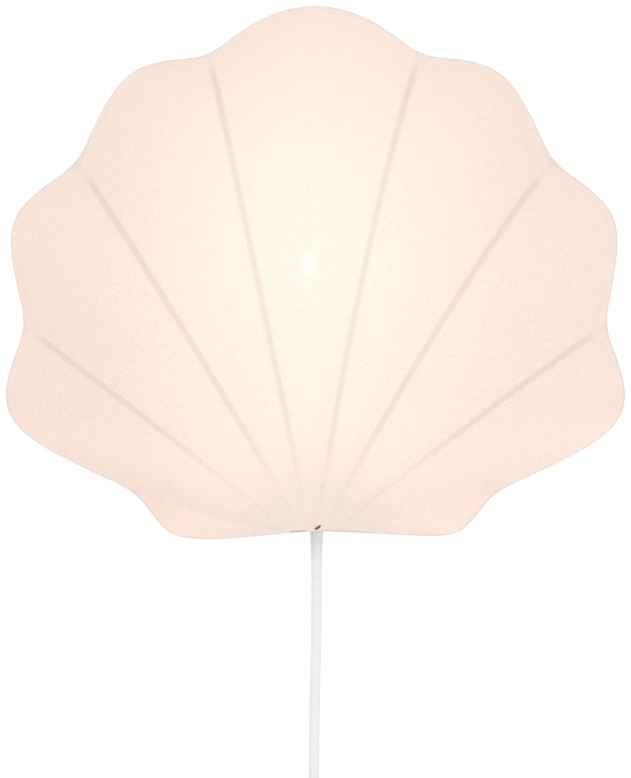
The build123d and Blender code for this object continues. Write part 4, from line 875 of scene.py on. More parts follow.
def wrap(edge_points):
    """The cover from a lobe's edge back round the wire and in along the wall to the hem.

    It follows the wrap's section, then a straight blend to the hem's ellipse with gathers that
    deepen towards it.
    """
    hem_x, hem_z, away = hem_below(edge_points)
    hem_way = np.stack((hem_x - edge_points[:, 0], hem_z - edge_points[:, 2]), axis=1)
    gap = np.linalg.norm(hem_way, axis=1)[:, None]
    rows = []
    for depth, inset in WRAP_SECTION:
        flat = edge_points[:, [0, 2]] + hem_way / gap * inset
        rows.append(np.stack((flat[:, 0], np.full(len(flat), -depth), flat[:, 1]), axis=1))
    band_start = WRAP_SECTION[-1][1] / gap
    for part in np.linspace(0.12, 1.0, BAND_ROWS):
        flat = edge_points[:, [0, 2]] + hem_way * (band_start * (1 - part) + part)
        ripple = GATHER_DEPTH * part**2 * (1 + gathers(away))
        rows.append(np.stack((flat[:, 0], -BAND_GAP - ripple, flat[:, 1]), axis=1))
    return np.array(rows)


tips = [notch_point(k, NOTCH_WEBS[k]) for k in range(4)]
stations = [(SKIRT_FOOT, rim_bottom(SKIRT_FOOT) - COVER_GROW)] + tips
edges = [lobe_edge(stations[k], stations[k + 1], LOBES[k], LOBE_FULLNESS[k]) for k in range(4)]
top_edge = lobe_edge(tips[3], (-tips[3][0], tips[3][1]), LOBES[4], LOBE_FULLNESS[4])
feet_x = [SKIRT_FOOT] + [rib[1] for rib in RIBS]
foot_y = -RIM_OUT - FOOT_FORWARD * COVER_GROW
feet = [(x, foot_y, rim_bottom(x) - FOOT_DROP * COVER_GROW) for x in feet_x]
lips = [(x, -RIM_OUT, rim_bottom(x) - COVER_GROW) for x in feet_x]
arches = [arch(feet[0], edges[0][3], SKIRT_BOW)]
arches += [
    arch(feet[k + 1], edges[k + 1][3], rib[2] + RIB_LIFT, rib[3]) for k, rib in enumerate(RIBS)
]
bottom_run, bottom_turn = halves(edges[0])
MIRROR = np.array((-1, 1, 1))
NOT_NEAR = 1.0          # distance kept where a patch has no rib or outline, m

cover_patches, rib_gaps, edge_gaps = [], [], []


def far_from(points, line):
    """How far each point of a patch is from its own point of a row or column, in metres."""
    return np.linalg.norm(points - line, axis=2) * MM


def lay(points, rib_gap=None, edge_gap=None):
    """Keeps a patch of the cover, how far it is from the nearest rib and from the outline."""
    cover_patches.append(points)
    for gaps, gap in ((rib_gaps, rib_gap), (edge_gaps, edge_gap)):
        gaps.append(np.full(points.shape[:2], NOT_NEAR) if gap is None else gap)


for side in (1, -1):
    turn_side = MIRROR if side < 0 else np.ones(3)
    bottom_panel = panel(arches[0], bottom_run, straight(feet[0], lips[0]), bottom_turn[::-1])
    edge_gap = np.minimum(
        far_from(bottom_panel, bottom_panel[:, -1:]), far_from(bottom_panel, bottom_panel[-1:]))
    lay(bottom_panel * turn_side, edge_gap=edge_gap)
    lay(wrap(cubic(bottom_run, share_up)) * turn_side)
    lay(wrap(cubic(bottom_turn[::-1], share_across)) * turn_side)
    for k in range(3):
        foot_line, lip_line = straight(feet[k], feet[k + 1]), straight(lips[k], lips[k + 1])
        points = panel(arches[k], arches[k + 1], foot_line, edges[k + 1])
        rib_gap = far_from(points, points[:, -1:])
        if k > 0:
            rib_gap = np.minimum(far_from(points, points[:, :1]), rib_gap)
        lay(points * turn_side, rib_gap, far_from(points, points[-1:]))
        lay(wrap(cubic(edges[k + 1], share_across)) * turn_side)
        hub_rows = (cubic(foot_line, share_across), cubic(lip_line, share_across))
        lay(np.array(hub_rows) * turn_side)
        lay(wrap(hub_rows[1]) * turn_side)
top_foot = straight(feet[3], feet[3] * MIRROR)
top_lip = straight(lips[3], lips[3] * MIRROR)
top_panel = panel(arches[3], arches[3] * MIRROR, top_foot, top_edge)
top_gap = np.minimum(
    far_from(top_panel, top_panel[:, :1]), far_from(top_panel, top_panel[:, -1:]))
lay(top_panel, top_gap, far_from(top_panel, top_panel[-1:]))
lay(wrap(cubic(top_edge, share_across)))
lay(np.array((cubic(top_foot, share_across), cubic(top_lip, share_across))))
lay(wrap(cubic(top_lip, share_across)))

# The taut cloth rounds each corner of the outline at a notch, and the sewn cover is fuller in
# two places: X and Z, way out, how far and how wide.
NOTCH_EASE, EASE_DEPTH = 13.0, 16.0
FULLER = (
    ((-196.0, -21.0), (-1.0, 0.0), 1.7, 22.0), ((-58.0, -213.0), (0.0, -1.0), 2.6, 27.0),
)
notches = []
for tip, lower, upper in zip(tips, edges, edges[1:] + [top_edge]):
    down, up = (lower[2] - lower[3])[[0, 2]], (upper[1] - upper[0])[[0, 2]]
    down, up = down / hypot(*down), up / hypot(*up)
    out_way = (down + up) / hypot(*(down + up))
    along_way = np.array((-out_way[1], out_way[0]))
    notches.append((np.array(tip), out_way, along_way, abs((down @ out_way) / (down @ along_way))))


def eased(share):
    """A share from 0 to 1 with level ends: three of its squares less two of its cubes."""
    return share**2 * (3 - 2 * share)


def drawn_out(points):
    """Points of the cloth moved outwards.

    Beside a notch by the gap between a corner of that slope and a parabola that rounds it, and
    at a fuller place by a bell curve.
    """
    moved = points.copy()
    for side in (1, -1):
        flat = points[..., [0, 2]] * (side, 1)
        for tip, out_way, along_way, slope in notches:
            away = flat - tip
            beside = np.maximum(0, NOTCH_EASE - np.abs(away @ along_way))
            inside = np.clip(1 + (away @ out_way) / EASE_DEPTH, 0, 1)
            push = slope * beside**2 / (2 * NOTCH_EASE) * eased(inside)
            moved[..., [0, 2]] += push[..., None] * out_way * (side, 1)
    for place, out_way, far, wide in FULLER:
        away = points[..., [0, 2]] - place
        push = far * np.exp(-(away**2).sum(axis=-1) / (2 * wide**2))
        moved[..., [0, 2]] += push[..., None] * np.array(out_way)
    return moved


cover_patches = [drawn_out(points) for points in cover_patches]
rim_line = np.concatenate((rim_half, rim_half[::-1] * (-1, 1)))


def past_wire(points):
    """How far points lie outside the rim's centreline, seen from the front: less than 0 inside.

    The nearest bit of the wire gives the distance, and a crossing count gives the side.
    """
    flat = points.reshape(-1, 3)[:, [0, 2]]
    start, end = rim_line, np.roll(rim_line, -1, axis=0)
    span = end - start
    span_square = np.maximum((span**2).sum(axis=1), 1e-9)
    least = np.full(len(flat), np.inf)
    crossings = np.zeros(len(flat), dtype=int)
    for a, along, square, b in zip(start, span, span_square, end):
        share = np.clip(((flat - a) @ along) / square, 0, 1)
        least = np.minimum(least, np.hypot(*(flat - a - share[:, None] * along).T))
        spans = (a[1] > flat[:, 1]) != (b[1] > flat[:, 1])
        rise = along[1] if along[1] != 0 else 1e-9
        crossings += spans & (flat[:, 0] < a[0] + (flat[:, 1] - a[1]) * along[0] / rise)
    return np.where(crossings % 2 == 1, -least, least).reshape(points.shape[:2]) * MM


rim_gaps = [past_wire(points) for points in cover_patches]

# Single jersey on the object's own X and Z: upright wales of V stitches, and odd paler and
# greyer loops where the yarn is uneven.
jersey_knit, given, out = effect_group(
    "jersey_knit",
    (("Vector", VECTOR, None), ("Wale", NUMBER, WALE * MM), ("Course", NUMBER, COURSE * MM)),
    (("Height", NUMBER), ("Loop", NUMBER), ("Fleck", NUMBER)),
)
parts = put_node(jersey_knit, "ShaderNodeSeparateXYZ", {0: given.outputs["Vector"]}).outputs
# wales lie closer where the cloth slopes back, and still run across the wrap
slope_share = add(jersey_knit, 1.0, times(jersey_knit, parts[1], -2.2))
wale_place = work_out(
    jersey_knit, "DIVIDE", times(jersey_knit, parts[0], slope_share), given.outputs["Wale"])
course_place = work_out(
    jersey_knit, "DIVIDE", add(jersey_knit, parts[2], times(jersey_knit, parts[1], 0.4)),
    given.outputs["Course"])
from_wale = work_out(jersey_knit, "ABSOLUTE", work_out(
    jersey_knit, "SUBTRACT", work_out(jersey_knit, "FRACT", wale_place), 0.5))
stitch = work_out(
    jersey_knit, "SINE", times(jersey_knit, add(jersey_knit, course_place, from_wale), 2 * pi))
half_wale = work_out(jersey_knit, "FRACT", times(jersey_knit, wale_place, 2.0))
ridge = work_out(jersey_knit, "SINE", times(jersey_knit, half_wale, pi))
loop = put_node(jersey_knit, "ShaderNodeCombineXYZ", {
    0: work_out(jersey_knit, "FLOOR", wale_place), 1: work_out(jersey_knit, "FLOOR", course_place),
}).outputs[0]
feed(jersey_knit, out, {
    "Height": times(jersey_knit, ridge, add(jersey_knit, 0.7, times(jersey_knit, stitch, 0.3))),
    "Loop": put_node(jersey_knit, "ShaderNodeTexWhiteNoise", {"Vector": loop}).outputs[0],
    "Fleck": noise(jersey_knit, given.outputs["Vector"], 820.0, 3.0, Roughness=0.7),
})

# colours as the eye sees them in the lit shade: the cloth, its flecks and painted knit shade, the
# painted shade of its bare webs, the wires' painted shadows
JERSEY = (0.78, 0.655, 0.58, 1)
JERSEY_FLECK_AND_SHADE = (0.59, 0.49, 0.455, 1)
WEB_PAINTED_SHADE = (0.67, 0.565, 0.53, 1)
JERSEY_WRAP = (0.66, 0.60, 0.595, 1)
HUB_PAINTED_SHADE = (0.89, 0.935, 0.985, 1)
WIRE_SHADOW = (0.62, 0.53, 0.52, 1)
GLOW_EDGE, GLOW_HEART = (0.90, 0.70, 0.58, 1), (1.0, 0.92, 0.72, 1)


def from_point(tree, place, centre):
    """The way from a point, given in metres, to a place."""
    wires = {0: place, 1: centre}
    return put_node(tree, "ShaderNodeVectorMath", wires, operation="SUBTRACT").outputs[0]


def far_away(tree, way, scale):
    """The length of a way, with each axis weighed by its scale."""
    weighed = put_node(tree, "ShaderNodeVectorMath", {0: way, 1: scale}, operation="MULTIPLY")
    far = put_node(tree, "ShaderNodeVectorMath", {0: weighed.outputs[0]}, operation="LENGTH")
    return far.outputs["Value"]


def wire_shadows(tree, depth, height, rib_gap, rim_gap, edge_gap):
    """How dark the wires' painted shadows show: fainter where the ribs run in to the hub and out
    to the notches.
    """
    near_hub = spread(tree, height, -0.200, -0.125, 0.05, 1.0)
    near_rim = spread(tree, rim_gap, -0.012, 0.0, 1.0, 0.25)
    rib_line = times(
        tree, spread(tree, rib_gap, 0.0008, 0.0036, 0.74, 0.0), times(tree, near_hub, near_rim))
    rim_line = spread(tree, work_out(tree, "ABSOLUTE", rim_gap), 0.0004, 0.0024, 0.07, 0.0)
    on_front = spread(tree, depth, -0.0118, -0.0108, 1.0, 0.0)
    # painted shadow: a dark line along the cloth's outline
    outline_shadow = spread(tree, edge_gap, 0.0010, 0.0030, 0.85, 0.0)
    return work_out(tree, "MAXIMUM", rib_line, work_out(
        tree, "MAXIMUM", times(tree, rim_line, on_front), outline_shadow))


def painted_bulb_glow(tree, place, depth, wires, behind):
    """Painted glow for the bulb's light in the cloth: paler and stronger near it, with a bright
    spot in front.
    """
    apart = from_point(tree, place, tuple(c * MM for c in LIT_CENTRE))
    glow = spread(tree, far_away(tree, apart, (1.15, 0.55, 0.80)), 0.0, 0.17, 1.0, 0.0)
    strength = add(tree, 0.27, times(tree, glow, 0.10))
    # painted light: cloth that faces down glows a little more, so that it is as light as the rest
    normal = put_node(tree, "ShaderNodeNewGeometry").outputs["Normal"]
    facing = put_node(tree, "ShaderNodeSeparateXYZ", {0: normal}).outputs[2]
    strength = add(tree, strength, spread(tree, facing, -0.72, -0.12, 0.062, 0.0))
    spot_far = far_away(tree, apart, (1.0, 0.0, 0.66))
    hot = work_out(tree, "POWER", spread(tree, spot_far, 0.0, 0.0068, 1.0, 0.0), 2.0)
    on_dome = spread(tree, depth, -0.060, -0.050, 1.0, 0.0)
    strength = add(tree, strength, times(tree, times(tree, hot, 0.36), on_dome))
    shaded = work_out(tree, "MAXIMUM", times(tree, wires, 0.25), times(tree, behind, 0.4))
    strength = times(tree, strength, work_out(tree, "SUBTRACT", 1.0, shaded))
    return blend_colours(
        tree, strength, (0, 0, 0, 1), blend_colours(tree, glow, GLOW_EDGE, GLOW_HEART))


def jersey_material(name, lit):
    """The cover's cloth; lit cloth also has a painted glow that stands for the bulb behind it."""
    material, tree, shader, place = new_material(name)
    knit = place_effect(tree, jersey_knit, {"Vector": place}).outputs
    fleck = spread(tree, knit["Fleck"], 0.50, 0.66, 0.0, 0.75)
    odd_loop = spread(tree, knit["Loop"], 0.80, 1.0, 0.0, 0.45)
    # painted shade in the low parts of the knit, beside the flecks and odd loops of the yarn
    knit_shade = spread(tree, knit["Height"], 0.0, 0.6, 0.30, 0.0)
    marks = work_out(tree, "MAXIMUM", work_out(tree, "MAXIMUM", fleck, odd_loop), knit_shade)
    colour = blend_colours(tree, marks, JERSEY, JERSEY_FLECK_AND_SHADE)
    if lit:
        rib_gap, rim_gap, edge_gap = [
            put_node(tree, "ShaderNodeAttribute", attribute_name=label).outputs["Fac"]
            for label in ("from_rib", "past_wire", "from_edge")
        ]
        _, depth, height = put_node(tree, "ShaderNodeSeparateXYZ", {0: place}).outputs
        # painted shade: the bare webs past the wire are darker, as less of the bulb's light
        # reaches them
        web = spread(tree, rim_gap, 0.0040, 0.0075)
        colour = blend_colours(tree, web, colour, WEB_PAINTED_SHADE)
        # painted shade: near the hub, where the cloth lies doubled, it is a little greyer, as less
        # of the bulb's light comes through
        from_hub = far_away(tree, from_point(tree, place, (0, 0, HUB_Z * MM)), (1.0, 0.0, 1.0))
        hub_shade = spread(tree, from_hub, 0.020, 0.070, 1.0, 0.0)
        colour = blend_colours(tree, hub_shade, colour, HUB_PAINTED_SHADE, "MULTIPLY")
        # the wrap behind the rim is hardly lit from inside
        behind = spread(tree, depth, -0.0112, -0.0098)
        colour = blend_colours(tree, behind, colour, JERSEY_WRAP)
        wires = wire_shadows(tree, depth, height, rib_gap, rim_gap, edge_gap)
        colour = blend_colours(tree, wires, colour, WIRE_SHADOW)
        glow = painted_bulb_glow(tree, place, depth, wires, behind)
        feed(tree, shader, {"Emission Color": glow, "Emission Strength": 1.0})
    feed(tree, shader, {
        "Base Color": colour, "Roughness": spread(tree, knit["Fleck"], 0.2, 0.8, 0.78, 0.92),
        "Sheen Weight": 0.12, "Specular IOR Level": 0.25,
    })
    add_bump(tree, shader, knit["Height"], 0.35, 0.00025)
    return material


lit_jersey = jersey_material("lit_jersey", True)
plain_jersey = jersey_material("hem_jersey", False)

shade_cover = make_piece(
    "shade_cover", cover_patches, lit_jersey,
    attributes={"from_rib": rib_gaps, "past_wire": rim_gaps, "from_edge": edge_gaps},
)
cloth = shade_cover.modifiers.new("cloth_thickness", "SOLIDIFY")
cloth.thickness = FABRIC_T * MM
cloth.offset = -1.0
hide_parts("shell_cover", "cover_back_band")

# ---------------------------------------------------------------- hem
# The cover's edge is turned over a flat elastic, which gathers it, and overlocked with a zigzag
# thread. At the hub a short bar tack holds the cloth where the cord comes out; its dark red
# is painted shadow of the gap there.
HEM_W, HEM_HALF_T = 8.6, 1.05
HEM_Y = -1.35
HEM_MIDDLE = HEM_W / 2 - 0.4    # outwards from the ellipse that the cover's size names
THREAD_R, ZIGZAGS, ZIGZAG_SWING = 0.17, 230, 1.5


def on_hem(turn, out_by, depth):
    """Points round the hem's ellipse, grown by so much, at a depth from the wall."""
    return np.stack(np.broadcast_arrays(
        (HEM_HALF_WIDTH + out_by) * np.cos(turn), depth,
        SHELL_CENTRE_Z + (HEM_HALF_HEIGHT + out_by) * np.sin(turn),
    ), axis=-1)


hem_turn = np.linspace(0, 2 * pi, 1400)[:, None]
hem_round = np.linspace(0, 2 * pi, 15)[None, :]
gather = gathers(hem_turn)
hem_out = HEM_MIDDLE + HEM_W / 2 * (1 + 0.05 * gather) * np.cos(hem_round) + 0.15 * gather
hem_thick = HEM_HALF_T * (1 + 0.12 * gather * np.sin(hem_round))
hem_thick = hem_thick * np.sign(np.sin(hem_round)) * np.abs(np.sin(hem_round)) ** 0.7
gathered_hem = make_piece(
    "gathered_hem", [on_hem(hem_turn, hem_out, HEM_Y + hem_thick)], plain_jersey
)
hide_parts("hem_elastic")

thread, _, _, _ = fibrous_material(
    "overlock_thread", 4000.0, 2.0, (0.80, 0.68, 0.63, 1), (0.62, 0.50, 0.46, 1), 0.7, 0.4
)
zig = np.linspace(0, 2 * pi, ZIGZAGS * 8 + 1)
swing = HEM_MIDDLE + ZIGZAG_SWING * np.arcsin(0.97 * np.sin(ZIGZAGS * zig)) / (pi / 2)
zig_line = on_hem(zig, swing, HEM_Y + HEM_HALF_T + 0.06)
hem_thread = make_piece(
    "overlock_stitch", [round_tube(zig_line, THREAD_R, 6, (0, 1, 0))], thread
)

# the bar tack: a short ridged strip of satin stitches, laid across the edge of the cloth; its
# dark red is painted shadow of the gap at the cord's exit
TACK_START, TACK_END = (0.65, 0.0, -208.5), (4.2, 0.0, -205.7)
TACK_R, TACK_RIDGES, TACK_SINK = 0.75, 11, 0.45
TACK_REACH, FRONT_Y = 3.2, -13.3    # the cloth it lies on: how far round it, and its front
tack_shadow_red, _, _, _ = fibrous_material(
    "tack_shadow_red", 3500.0, 3.0, (0.34, 0.07, 0.045, 1), (0.16, 0.03, 0.02, 1), 0.6, 0.5
)
tack_share = np.linspace(0, 1, 61)[:, None]
tack_line = np.array(TACK_START) * (1 - tack_share) + np.array(TACK_END) * tack_share
tack_middle = tack_line[len(tack_line) // 2]
# it lies on the plane that fits the front of the cloth round its middle
cloth_points = np.concatenate([points.reshape(-1, 3) for points in cover_patches])
near_tack = np.hypot(*(cloth_points - tack_middle)[:, [0, 2]].T) < TACK_REACH
near_tack &= cloth_points[:, 1] < FRONT_Y
flat = cloth_points[near_tack][:, [0, 2]]
plane = np.linalg.lstsq(
    np.column_stack((flat, np.ones(len(flat)))), cloth_points[near_tack][:, 1], rcond=None)[0]
tack_line[:, 1] = tack_line[:, [0, 2]] @ plane[:2] + plane[2] - TACK_SINK
tack_radius = TACK_R * np.sqrt(np.clip(1.02 - (2 * tack_share - 1) ** 4, 0, 1))
tack_radius = tack_radius * (1 + 0.12 * np.cos(2 * pi * TACK_RIDGES * tack_share))
bar_tack = make_piece(
    "bar_tack", [round_tube(tack_line, tack_radius, 14, (0, 1, 0))], tack_shadow_red
)

# the edge of the cloth is sewn down on both sides of the cord, in red and in pale pink; these
# colours are partly the thread's and partly painted shade of the doubled cloth, which lets less
# of the bulb's light through
SEAM_R = 0.24
SEAM_RUNS = ((-16.0, -5.0), (5.2, 38.0))
SEAM_Y, SEAM_DROP = -13.35, 2.75
STITCHES = 4.2          # how fast the stitches follow each other, radians a mm
seam_thread, tree, shader, place = new_material("seam_thread")
side = put_node(tree, "ShaderNodeSeparateXYZ", {0: place}).outputs[0]
strands = noise(tree, place, 2500.0, 2.0)
red = blend_colours(tree, strands, (0.62, 0.33, 0.29, 1), (0.50, 0.24, 0.21, 1))
pink = blend_colours(tree, strands, (0.80, 0.66, 0.63, 1), (0.72, 0.58, 0.56, 1))
feed(tree, shader, {
    "Base Color": blend_colours(tree, spread(tree, side, -0.001, 0.001), red, pink),
    "Roughness": 0.7,
})
seams = []
for seam_start, seam_end in SEAM_RUNS:
    seam_x = np.linspace(seam_start, seam_end, 120)
    seam_line = np.array([(x, SEAM_Y, rim_bottom(abs(x)) - SEAM_DROP) for x in seam_x])
    seam_line[:, 2] += 0.10 * np.sin(STITCHES * seam_x)
    seam_radius = SEAM_R * (1 + 0.25 * np.cos(2 * STITCHES * seam_x))
    seams.append(round_tube(drawn_out(seam_line[None])[0], seam_radius, 10, (0, 1, 0)))
hub_seam = make_piece("hub_seam", seams, seam_thread)

# ---------------------------------------------------------------- inline switch
# A two-part moulded case, screwed together from the back, with a rocker that stands tilted to
# its ON side. The marks for on and off are raised on the rocker.
SWITCH_X, SWITCH_MID_Z = -0.4, -414.6
HINGE_Y = -13.1
ROCKER_TILT = radians(8)
ROCKER_FACE = 4.9
ROCKER_DIP = 0.9
ROCKER_DIP_SLOPE = ROCKER_DIP / 8.717
MARK_AT, MARK_SIZE, MARK_R = 5.0, 1.5, 0.22

switch_plastic = solid_material(
    "moulded_switch", (0.86, 0.86, 0.85, 1), (0.79, 0.79, 0.775, 1), 0.27, cloud=45.0,
    grain_scale=2600.0, amount=0.45, rough_spread=0.12, bump=0.15, bump_distance=0.00004,
    coat=0.1,
)
rocker_plastic = solid_material(
    "moulded_rocker", (0.88, 0.88, 0.87, 1), (0.82, 0.82, 0.81, 1), 0.2, cloud=60.0,
    grain_scale=2600.0, amount=0.4, rough_spread=0.12, bump=0.12, bump_distance=0.00004,
    coat=0.2,
)
mark_plastic = solid_material(
    "printed_marks", (0.20, 0.20, 0.21, 1), (0.30, 0.30, 0.31, 1), 0.4, cloud=300.0, amount=0.6,
)
dress(switch_plastic, "switch_front_case", "switch_back_case")
dress(rocker_plastic, "switch_rocker")
dress(zinc_plate, "switch_screws")
dress(brass, "switch_terminals")


def on_rocker(points):
    """Points given across, along and above the rocker's face, in the lamp's frame."""
    across, along, above = points[..., 0], points[..., 1], points[..., 2]
    face = ROCKER_FACE - ROCKER_DIP + ROCKER_DIP_SLOPE * np.abs(along) + above
    return np.stack((
        SWITCH_X + across,
        HINGE_Y - face * cos(ROCKER_TILT) - along * sin(ROCKER_TILT),
        SWITCH_MID_Z + along * cos(ROCKER_TILT) - face * sin(ROCKER_TILT),
    ), axis=-1)


mark_turn = np.linspace(0, 2 * pi, 49)[:, None]
mark_round = np.linspace(0, 2 * pi, 11)[None, :]
ring_mark = on_rocker(np.stack((
    (MARK_SIZE + MARK_R * np.cos(mark_round)) * np.cos(mark_turn),
    -MARK_AT + (MARK_SIZE + MARK_R * np.cos(mark_round)) * np.sin(mark_turn),
    0.6 * MARK_R * np.sin(mark_round) + 0 * mark_turn,
), axis=-1))
bar_line = np.linspace(-MARK_SIZE, MARK_SIZE, 25)
bar_fat = MARK_R * np.sqrt(np.clip(1 - (bar_line / (MARK_SIZE + 0.01)) ** 8, 0, 1))[:, None]
bar_mark = on_rocker(np.stack((
    bar_fat * np.cos(mark_round), MARK_AT + bar_line[:, None] + 0 * mark_round,
    0.6 * bar_fat * np.sin(mark_round),
), axis=-1))


def closed_ends(rings):
    """A grid of rings with each end ring drawn in to its middle."""
    ends = np.repeat(rings[[0, -1]].mean(axis=1, keepdims=True), rings.shape[1], axis=1)
    return np.concatenate((ends[:1], rings, ends[1:]))


rocker_marks = make_piece(
    "rocker_marks", [ring_mark, closed_ends(bar_mark)], mark_plastic,
    body="rocker",
)

# ---------------------------------------------------------------- coil of spare cord
# Below the switch the rest of the cord is wound into a neat flat coil that hangs against the
# wall, in on the wall side and out in front, and its tail runs straight down to the plug.
LOWER_ROUTE = (
    (-0.4, -9.6, -445.6), (-0.4, -9.6, -457.6), (5.0, -8.2, -472.6), (13.0, -6.2, -485.6),
    (11.5, -5.2, -505.6), (-5.0, -5.0, -519.6), (-23.0, -5.0, -519.6),
)
COIL_CENTRE_X, COIL_CENTRE_Z = -29.6, -566.8
COIL_BACK_Y, COIL_FRONT_Y = -5.0, -12.2
COIL_RADII = (
    47.2, 43.6, 40.0, 36.4, 32.8, 29.2, 25.6, 22.0, 18.2, 26.0, 29.6, 33.2, 36.8, 40.4, 44.0, 45.8,
)
HALF_TURNS, CLIMB_AT = 14, 7    # the cord steps out from the wall at this half turn
COIL_STEPS = 8          # points of the route in each half turn
POLYGON_SPARE = 1.012   # the smooth line runs inside its points by about this much
TAIL_ROUTE = (
    (-75.4, -12.2, -576.8), (-75.4, -12.2, -586.8), (-75.4, -12.2, -594.8),
)

half_turns = np.arange(1, (HALF_TURNS + 0.5) * COIL_STEPS + 1) / COIL_STEPS
knots = np.append(np.arange(HALF_TURNS + 1), HALF_TURNS + 0.5)
coil_radius = np.interp(half_turns, knots, COIL_RADII) * POLYGON_SPARE
climb = eased(np.clip(half_turns - CLIMB_AT, 0, 1))
coil_turn = pi / 2 + half_turns * pi
coil_route = np.stack((
    COIL_CENTRE_X + coil_radius * np.cos(coil_turn),
    COIL_BACK_Y + (COIL_FRONT_Y - COIL_BACK_Y) * climb,
    COIL_CENTRE_Z + coil_radius * np.sin(coil_turn),
), axis=1)
long_route = np.concatenate((LOWER_ROUTE, coil_route, TAIL_ROUTE))
lower_line, lower_length = smooth_line("lower_line", long_route, 0.62)
lower_cord = cord_piece("cord_to_plug", lower_line, 26, (0, 1, 0))
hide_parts("cord_drop_lower", "cord_coil")

# ---------------------------------------------------------------- tie
# A woven hook-and-loop strap round the turns, just left of their top, closed in front with its
# end lapped over.
TIE_X0, TIE_X1 = -39.6, -29.6
TIE_BACK, TIE_FRONT = -1.4, -15.8
TIE_TOP, TIE_BOTTOM = -516.0, -555.7
TIE_T, TIE_CORNER = 1.0, 2.4
TIE_INSIDE = 0.05       # the strap's inner face from the path
LAP_RISE = 1.1          # the lapped end lies this much proud
LAP_FOOT = 12.0         # and stops this far above the strap's lowest point
WEFT_PITCH, WARP_PITCH = 0.0009, 0.0007     # metres

strap_weave, tree, shader, place = new_material("woven_strap")
across, _, up = put_node(tree, "ShaderNodeSeparateXYZ", {0: place}).outputs
weft = work_out(tree, "SINE", times(tree, up, 2 * pi / WEFT_PITCH))
warp = work_out(tree, "SINE", times(tree, across, 2 * pi / WARP_PITCH))
weave_height = times(tree, weft, warp)
fuzz = times(tree, noise(tree, place, 2500.0, 4.0), 0.3)
# painted shade where the weave dips; the fuzz below is grey at random
weave_shade = spread(tree, weave_height, -0.6, 0.6, 0.5, 0.0)
strap_colour = blend_colours(tree, weave_shade, (0.80, 0.80, 0.79, 1), (0.55, 0.55, 0.55, 1))
strap_colour = blend_colours(tree, fuzz, strap_colour, (0.6, 0.6, 0.6, 1))
feed(tree, shader, {"Base Color": strap_colour, "Roughness": 0.88})
add_bump(tree, shader, weave_height, 0.5, 0.0002)


def strap_path(extra, start_z, end_z):
    """A loop round the turns with rounded corners, then on down the front to end_z."""
    corners = []
    for y, z, angle in (
        (TIE_FRONT, TIE_BOTTOM, pi), (TIE_BACK, TIE_BOTTOM, 1.5 * pi),
        (TIE_BACK, TIE_TOP, 0.0), (TIE_FRONT, TIE_TOP, 0.5 * pi),
    ):
        middle_y = y + TIE_CORNER * (1 if y == TIE_FRONT else -1)
        middle_z = z + TIE_CORNER * (1 if z == TIE_BOTTOM else -1)
        bend = angle + np.linspace(0, pi / 2, 8)
        corners.append(np.stack((
            middle_y + (TIE_CORNER + extra) * np.cos(bend),
            middle_z + (TIE_CORNER + extra) * np.sin(bend),
        ), axis=1))
    start = [(TIE_FRONT - extra, start_z)]
    lapped_y = TIE_FRONT - extra - LAP_RISE
    end = [(TIE_FRONT - extra - 0.35, TIE_TOP - TIE_CORNER - 3.0), (lapped_y, TIE_TOP - 9.0)]
    end += [(lapped_y, z) for z in np.linspace(TIE_TOP - 12.0, end_z, 6)]
    return np.concatenate((start, *corners, end))


strap_inner, strap_outer = [
    strap_path(extra, TIE_TOP - 14.0, TIE_BOTTOM + LAP_FOOT)
    for extra in (TIE_INSIDE, TIE_INSIDE + TIE_T)
]
strap_ring = np.concatenate((strap_inner, strap_outer[::-1], strap_inner[:1]))
# the flat strip's long edges are pulled in a little, so that they read as bound
strip_across = np.array((TIE_X0, TIE_X0 + 0.35, TIE_X0 + 0.8, TIE_X1 - 0.8, TIE_X1 - 0.35, TIE_X1))
thin = np.array((0.35, 0.8, 1.0, 1.0, 0.8, 0.35))[:, None, None]
middle_path = (strap_inner + strap_outer) / 2
middle_ring = np.concatenate((middle_path, middle_path[::-1], middle_path[:1]))
flat_ring = middle_ring + (strap_ring - middle_ring) * thin


def strip_points(across, flat):
    """Points at a place across the strap and (depth, height) along its section."""
    return np.concatenate((np.broadcast_to(across, flat.shape[:2] + (1,)), flat), axis=-1)


strap_patches = [strip_points(strip_across[:, None, None], flat_ring)]
for ring, x in ((flat_ring[0], TIE_X0), (flat_ring[-1], TIE_X1)):
    inner, outer = ring[:-1].reshape(2, -1, 2)
    strap_patches.append(strip_points(x, np.stack((inner, outer[::-1]))))
cord_tie = make_piece("cord_strap", strap_patches, strap_weave)
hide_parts("cord_tie")

# ---------------------------------------------------------------- plug
# A flat two-pin plug moulded on the cord: waisted at the shoulders for the fingers, with grip
# ribs and a ribbed neck. Its brass pins are nickel plated and sleeved for half their length.
PLUG_X, PLUG_Y = -75.4, -12.2
PLUG_TOP_Z, PLUG_BASE_Z = -594.8, -630.8
PLUG_HALF_T, PLUG_NECK_T = 6.75, 5.2
PLUG_HALF_W, PLUG_NECK_HALF = 17.4, 5.6
PIN_HALF_GAP, PIN_R, PIN_L = 9.3, 2.0, 19.0
SLEEVE_L = 10.0
PIN_TIP = 1.4
NECK_RIBS, GRIP_RIBS = 22, 24   # waves in the plug's whole length
SQUARENESS = 3.6                # of the plug's section: 2 is an ellipse

